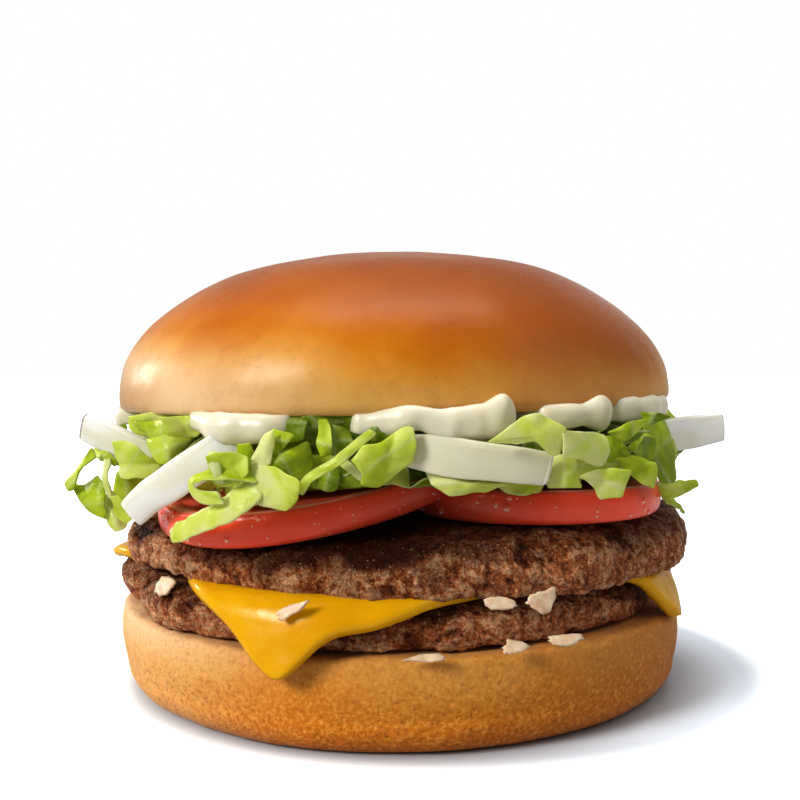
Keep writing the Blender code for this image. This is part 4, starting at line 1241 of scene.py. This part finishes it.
# outline of (x, z) in mm as seen from the front, depth before the axis in mm, and how green it is
FRONT_SCRAPS = (
    # left
    ([(-56.6, 36.8), (-53.6, 40.2), (-50.9, 43.2), (-50, 41.7), (-51.6, 41.1), (-53.3, 39),
      (-54.2, 36.2), (-55.7, 35.6)], 25, 0.6),
    ([(-51.8, 42.8), (-50.6, 43.6), (-49.1, 43.3), (-47.4, 41.8), (-47.2, 40.2), (-49.2, 41),
      (-51.2, 41.3)], 25, 0.45),
    ([(-56.4, 37.2), (-53.6, 36.6), (-50.6, 38.4), (-48.6, 35.2), (-48.8, 31.6), (-51.2, 32.2),
      (-54.2, 34.4)], 25, 0.75),
    ([(-51.6, 33.2), (-49, 35.8), (-47, 35), (-47.2, 32), (-49.5, 30.8)], 23.5, 0.25),
    ([(-47.6, 35.6), (-44.5, 35.4), (-43.2, 32.4), (-45, 31), (-47, 32.6)], 28, 0.4),
    ([(-48.4, 33.2), (-45.3, 33.4), (-45.4, 30.2), (-47.4, 29.2), (-48.8, 31)], 26.5, 0.2),
    ([(-46, 39.6), (-42, 39.8), (-39.5, 38.2), (-40.5, 36), (-44, 34.6), (-46.6, 36.4)], 29, 0.6),
    ([(-46.2, 44.8), (-42.3, 44.9), (-39.3, 42.1), (-37.8, 41), (-40.5, 38.9), (-45.1, 38.8),
      (-45.8, 41)], 31.5, 0.3),
    ([(-40.2, 45.2), (-36, 46.6), (-32, 48), (-32.3, 45.2), (-36.5, 41.6), (-38.4, 42.3)], 37.5, 0.4),
    ([(-42.6, 47.6), (-37, 48.4), (-32.4, 48.4), (-34.1, 46.6), (-39.3, 45.2), (-41.7, 46.4)], 35.5, 0.6),
    # middle
    ([(-27.5, 44.2), (-25.6, 44.7), (-21.7, 44.3), (-21.4, 41.6), (-23.4, 39.7), (-26.7, 39.8)], 49.8, 0.4),
    ([(-23.3, 45.6), (-21.2, 45.8), (-20.6, 42), (-20.4, 39.2), (-22.3, 39), (-23, 42)], 49.2, 0.65),
    ([(-21.2, 43.5), (-20, 46), (-19, 47.4), (-17.6, 47.7), (-18.2, 42.9), (-19.5, 42.2)], 51.6, 0.05),
    ([(-18.4, 47.8), (-16.5, 47.6), (-14.9, 47), (-17.4, 44.3), (-18.5, 43.1)], 51, 0.8),
    ([(-20.9, 42.8), (-17.7, 43.7), (-15.4, 45.2), (-13.2, 46.3), (-12.6, 42.9), (-13.8, 40.9),
      (-18, 40.4)], 50.4, 0.7),
    ([(-21.3, 43.2), (-21.2, 38.6), (-20, 36.9), (-16.2, 36.5), (-14, 38.5), (-13.6, 41.4),
      (-17.5, 42.8)], 51.6, 0.2),
    ([(-11.9, 49), (-10.3, 49.1), (-9.8, 44.4), (-11.4, 44.1), (-11.9, 46.3)], 51.2, 0.6),
    ([(-10.1, 48.6), (-8, 47.8), (-6.7, 46), (-7.5, 44), (-10, 44.3)], 49.8, 1.0),
    ([(-13, 44), (-9.3, 44), (-8.9, 39.4), (-11, 39), (-13.4, 39.4)], 49.6, 0.85),
    ([(-9, 43.4), (-6.6, 43), (-4.4, 41), (-6, 39.4), (-9, 39.8)], 49, 0.9),
    ([(-7, 43.9), (-5.3, 45.7), (-2.3, 46.5), (0.4, 48.2), (1.8, 48.1), (1.9, 43.8), (-0.2, 41.8),
      (-3, 39.8), (-5.7, 40.3), (-5.4, 41.9)], 53, 0.35),
    ([(-6, 47.8), (-2.5, 48.4), (-0.6, 47.4), (-3, 46), (-5.6, 46.2)], 50.4, 0.9),
    # Scraps in the shade under the crown, given the darkest tones: lettuce with painted shade.
    ([(-20.6, 49.4), (-16, 49.6), (-13.4, 49.2), (-14, 46), (-18, 45.4), (-20.8, 47)], 47.6, 1.1),
    ([(-14.4, 49.4), (-10, 49.8), (-7.4, 49.4), (-8, 46), (-12, 44.6), (-14.6, 46)], 46.8, 1.2),
    ([(-8.4, 49.6), (-5, 49.8), (-2.6, 48.6), (-4, 45.6), (-8, 45)], 47.4, 1.1),
    ([(-44, 48.6), (-39, 49.4), (-35, 49.2), (-36, 46.4), (-41, 45.4), (-44, 46.4)], 31, 0.25),
    ([(-36.4, 49), (-32, 49.4), (-29, 48.8), (-31, 46), (-35.4, 46)], 38, 0.3),
    # right
    ([(3, 42.3), (4.9, 42.3), (9.5, 40.9), (15.4, 39.9), (11.8, 38.9), (6.7, 38.5), (4.1, 40)], 51, 0.2),
    ([(11.6, 46.3), (15.2, 48.6), (18.7, 50.2), (23.1, 48), (22.4, 44.4), (20.9, 44), (19, 46),
      (15.9, 45.6)], 51.6, 0.15),
    ([(22.6, 48), (26, 47.4), (29.4, 46.9), (30.1, 44.5), (29.2, 42.3), (27.7, 42.3), (25.3, 43.4),
      (22.4, 44.1)], 48.6, 0.05),
    ([(20.9, 44.2), (25.1, 43.4), (25.4, 41.8), (26, 39.1), (23.9, 39.3), (20.9, 39.4)], 48.4, 0.25),
    ([(25.6, 40.7), (28.5, 42), (33.3, 41.7), (32.9, 40), (31.8, 37.6), (28.9, 37.4),
      (27.7, 39.2)], 46, 0.25),
    ([(34.8, 44.1), (37, 46.2), (38.8, 47.7), (42.8, 48.1), (43.7, 44.1), (43.7, 38.8), (40, 38.7),
      (39, 41)], 35.5, 0.85),
    ([(30.2, 47), (33, 48.2), (36.3, 48.9), (36.6, 47.7), (32.4, 45.2)], 42, 0.65),
    ([(31, 43.4), (33.8, 43.5), (38.4, 42.2), (38, 38.3), (33.6, 40.8)], 42, 0.55),
    ([(41.6, 37.6), (45, 37.4), (48.9, 38), (49.2, 36.5), (44.8, 34.8), (42.4, 35.2)], 25, 0.5),
    ([(37.6, 49.6), (40, 49.6), (42.5, 48.6), (39.9, 47.6), (37.8, 48)], 34, 0.9),
    ([(36.4, 46.2), (39, 45.4), (38.6, 42.4), (36, 42), (34.6, 44)], 38.6, 0.95),
    ([(29.4, 46.4), (32.2, 46), (33.8, 43.6), (31, 42.4), (29, 43.6)], 44, 0.8),
)


def front_leaves(heap):
    """The scraps and shreds that show at the front, left to right."""
    for number, (outline, depth, tone) in enumerate(FRONT_SCRAPS):
        scrap(heap, outline, depth, tone, 11 * number + 3)
    leaf(heap, [(-48.4, -24, 41.4), (-48.2, -27, 38), (-47.6, -26.5, 34.6)], 2.3, rib=0.9, tone=0.1, seed=2)
    leaf(heap, [(-26.9, -50.3, 44.6), (-26.5, -51, 42.3), (-26, -50.4, 39.8)], 1.9,
         rib=0.9, tone=0.05, seed=9)
    leaf(heap, [(-20.6, -51.4, 39.8), (-25, -50.4, 36.9), (-30, -46.2, 33.8), (-35, -40.4, 30.9)], 4.2,
         tip=0.35, fold=0.15, ruffle=0.15, tone=0.15, seed=11)
    loop = [(-20.6, -51, 41), (-25.6, -50.6, 41.4), (-29.8, -48.8, 39.9), (-29.2, -49, 38),
            (-25.6, -50.6, 37.8)]
    leaf(heap, loop, 2.0, roll=25, fold=0.1, ruffle=0.1, tone=0.3, seed=12)
    leaf(heap, [(-14.6, -52, 39), (-13, -52.8, 41.4), (-8.7, -53.4, 44), (-3.6, -52.2, 47.8)], 1.4,
         ruffle=0.1, fold=0.2, tone=0.25, seed=18)
    leaf(heap, [(-8.8, -51, 43.6), (-7, -51.8, 42.4), (-5.4, -51.8, 41.2)], 1.3, rib=0.6, tone=0.2, seed=23)
    leaf(heap, [(43, -25.6, 35.2), (46.4, -21, 33.4), (49, -17, 31)], 1.8, tip=0.4, tone=0.5, seed=33)


SHRED_COUNT = 125
SHRED_STEP = 137.508
UNDER_CROWN = 48.4
CLEAR_OF_ONION = 47.6


def shreds(heap):
    """More shreds all round, lying along the rim at every slant, further out towards the back."""
    chance = np.random.default_rng(11)
    for number in range(SHRED_COUNT):
        bearing = (number * SHRED_STEP) % 360
        back = 1 - bump(np.array(bearing), 0, 75)
        out = chance.uniform(43.5, 46.5) + float(back) * chance.uniform(0.6, 6.0)
        for strip in ONION_STRIPS:
            at = math.degrees(math.atan2(strip[1][0], -strip[1][1]))
            if abs((bearing - at + 180) % 360 - 180) < 17:
                out = min(out, CLEAR_OF_ONION)
        spot = polar(np.array(bearing), np.array(out * MM), 0)
        low = max(41.0 - 6.0 * float(back), float(above_slices(spot[0], spot[1], 3 * MM)) / MM + 3.2)
        height = chance.uniform(min(low, 44.0), 47.0)
        length, slant = chance.uniform(8, 17), math.radians(chance.uniform(-42, 42))
        swing = math.degrees(length * math.cos(slant) / 2 / out)
        steep = length * math.sin(slant) / 2
        bulge = chance.uniform(0.8, 1.6 + 1.8 * float(back))
        controls = []
        for part in (-1, 0, 1):
            reach = out + bulge * (1 - abs(part)) - 0.5 * abs(part)
            level = np.clip(height + part * steep, 33.0 if back > 0.5 else low - 1, UNDER_CROWN)
            controls.append(polar(np.array(bearing + part * swing), np.array(reach), level))
        leaf(heap, controls, chance.uniform(2.6, 6.8), roll=chance.uniform(-60, 60),
             turn=chance.uniform(-70, 70), fold=chance.uniform(-0.5, 0.6), ruffle=chance.uniform(0.0, 0.6),
             tip=chance.uniform(0, 0.5), rib=max(0.0, chance.uniform(-0.9, 0.9)),
             tone=chance.uniform(0.2, 0.95), seed=500 + number)


def lettuce():
    heap = Heap()
    front_leaves(heap)
    shreds(heap)
    obj = heap.build("lettuce_leaves", leaf_material)
    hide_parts("lettuce")
    return obj


CORE_RADIUS = 43.4 * MM
CORE_TOP = 47.2 * MM
CORE_FOOT = 37.8 * MM
CORE_THINNEST = 0.8 * MM


def lettuce_core(columns=200):
    """The heap's packed middle, seen only as shade between the leaves."""
    around = bearings(columns)[None, :]
    share = np.concatenate([np.linspace(0.03, 0.95, 26), np.linspace(0.96, 1.0, 6)])
    circle = polar(around, np.full((1, columns), 45 * MM), 0)
    brim = CORE_RADIUS + dents(circle, (1.5, 6, 2, 601))
    top = polar(around, share[:, None] * brim, CORE_TOP)
    low = top[::-1].copy()
    foot = np.maximum(above_slices(low[..., 0], low[..., 1], 6 * MM) + 0.8 * MM, CORE_FOOT)
    low[..., 2] = np.minimum(foot, CORE_TOP - CORE_THINNEST)
    rings = np.concatenate([top, low])
    crumple = fractal(rings, 5 * MM, 3, 603)
    rings[..., 2] += np.where(np.arange(len(rings)) < len(top), -1, 1)[:, None] * 0.5 * MM * np.abs(crumple)
    shade = {"tone": 1.0 + 0 * crumple, "rib": 0 * crumple}
    obj = round_body("lettuce_core", rings, leaf_material, shade)
    return obj


# Stage --------------------------------------------------------------------------------------------


def aim(obj, place, target):
    obj.location = place
    obj.rotation_euler = (Vector(target) - Vector(place)).to_track_quat("-Z", "Y").to_euler()
    bpy.context.scene.collection.objects.link(obj)


def area_light(name, place, target, size, power):
    lamp = bpy.data.lights.new(name, "AREA")
    lamp.shape = "RECTANGLE"
    lamp.size, lamp.size_y = size
    lamp.energy = power
    aim(bpy.data.objects.new(name, lamp), place, target)


def key_light(direction, spread, power):
    lamp = bpy.data.lights.new("key", "SUN")
    lamp.energy = power
    lamp.angle = math.radians(spread)
    aim(bpy.data.objects.new("key", lamp), direction, (0, 0, 0))


def studio_world():
    """White to the camera. As a light it is bright behind the burger and dim in front of it."""
    world = bpy.data.worlds.new("studio")
    world.use_nodes = True
    nodes, links = world.node_tree.nodes, world.node_tree.links
    direction = nodes.new("ShaderNodeSeparateXYZ")
    links.new(nodes.new("ShaderNodeTexCoord").outputs["Generated"], direction.inputs[0])
    path = nodes.new("ShaderNodeLightPath")

    def gradient(low, high, dim, bright):
        node = nodes.new("ShaderNodeMapRange")
        for socket, value in (("From Min", low), ("From Max", high), ("To Min", dim), ("To Max", bright)):
            node.inputs[socket].default_value = value
        links.new(direction.outputs["Y"], node.inputs["Value"])
        return node.outputs["Result"]

    def choose(kind, otherwise, chosen):
        node = nodes.new("ShaderNodeMix")
        links.new(path.outputs[kind], node.inputs["Factor"])
        for socket, value in (("A", otherwise), ("B", chosen)):
            if isinstance(value, float):
                node.inputs[socket].default_value = value
            else:
                links.new(value, node.inputs[socket])
        return node.outputs["Result"]

    light = choose("Is Glossy Ray", gradient(-0.6, 0.9, 0.34, 0.5), gradient(-0.1, 0.9, 0.03, 0.6))
    seen = choose("Is Camera Ray", light, 1.0)
    nodes["Background"].inputs["Color"].default_value = (1, 1, 1, 1)
    links.new(seen, nodes["Background"].inputs["Strength"])
    bpy.context.scene.world = world


# Where the floor's painted shadow is centred, right of and behind the burger's middle.
SHADE_MIDDLE = (12 * MM, 4 * MM, 0.0)
FLOOR_HALF_SIDE = 6.0
FLOOR_OPEN = (0.86, 0.93, 1.0)
FLOOR_SHADED = (0.3, 0.32, 0.35)
FLOOR_BOUNCE = (0.5, 0.5, 0.5)


def floor():
    """A wide white floor, brighter to the camera than what it throws back on the burger."""
    made = Finish("floor", Roughness=0.9, Emission_Color=(1, 1, 1, 1))
    path = made.node("LightPath").outputs["Is Camera Ray"]
    away = made.node("VectorMath", {0: made.place, 1: SHADE_MIDDLE}, operation="DISTANCE").outputs["Value"]
    # Painted shadow right of the burger and round its foot; a camera-only glow whitens the floor further
    # out.
    shade = made.range(away, 36 * MM, 52 * MM, 0.7, 0.0)
    glow = made.range(away, 51.5 * MM, 60.5 * MM, 0.0, 0.6)
    away = made.node("VectorMath", {0: made.place}, operation="LENGTH").outputs["Value"]
    contact = made.range(away, 46.5 * MM, 55 * MM, 0.6, 0.0)
    glow = made.times(glow, made.range(away, 46.5 * MM, 55 * MM, 0.1, 1.0))
    darker = made.node("Math", {0: shade, 1: contact}, operation="MAXIMUM").outputs[0]
    made.colour = made.mix(path, FLOOR_BOUNCE, made.mix(darker, FLOOR_OPEN, FLOOR_SHADED))
    made.finish(Emission_Strength=made.times(path, glow))
    side = FLOOR_HALF_SIDE
    corners = [(-side, -side, 0), (side, -side, 0), (side, side, 0), (-side, side, 0)]
    add_mesh("floor", corners, [[0, 1, 2, 3]], made.material)


CAMERA_PLACE = (0.0, -0.200, 0.057)
CAMERA_LENS = 47.7
CAMERA_DOWN = 1.94
CAMERA_LEFT = 0.08


def camera():
    data = bpy.data.cameras.new("camera")
    data.lens = CAMERA_LENS
    data.sensor_width = 36.0
    data.clip_start = 0.01
    obj = bpy.data.objects.new("camera", data)
    obj.location = CAMERA_PLACE
    obj.rotation_euler = (math.radians(90 - CAMERA_DOWN), 0, math.radians(CAMERA_LEFT))
    bpy.context.scene.collection.objects.link(obj)
    bpy.context.scene.camera = obj


def stage():
    view = bpy.context.scene.view_settings
    view.view_transform = "Standard"
    view.gamma = 0.8
    floor()
    studio_world()
    key_light((-0.68, -0.52, 0.5), 20, 2.6)
    area_light("top", (0.0, 0.08, 0.65), (0, 0, 0.05), (0.5, 0.22), 2.0)
    area_light("window", (-0.54, 0.28, 0.19), (-0.04, -0.03, 0.057), (0.1, 0.12), 0.9)
    area_light("fill", (0.42, -0.12, 0.42), (0.02, 0, 0.04), (0.35, 0.35), 0.6)
    camera()


beef_material = beef_finish()
skin_material = skin_finish()
leaf_material = leaf_finish()
onion_material = onion_finish()
pieces = [
    heel(),
    patty("patty_below", "patty_lower", 100, LOWER_CENTRE, lower_reach, LOWER_FLOOR, LOWER_TOP,
          level_ground, level_ground, 4.5 * MM),
    cheese(),
    patty("patty_above", "patty_upper", 200, UPPER_CENTRE, upper_reach, UPPER_FLOOR, UPPER_TOP,
          upper_dip, upper_slump, 6 * MM),
    *[tomato(place) for place in SLICES],
    drops(),
    lettuce_core(),
    lettuce(),
    *[onion_strip(number, *row) for number, row in enumerate(ONION_STRIPS, start=1)],
    minced_onion(),
    mayonnaise(),
    crown(),
]
for piece in pieces:
    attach(piece, "root")
stage()
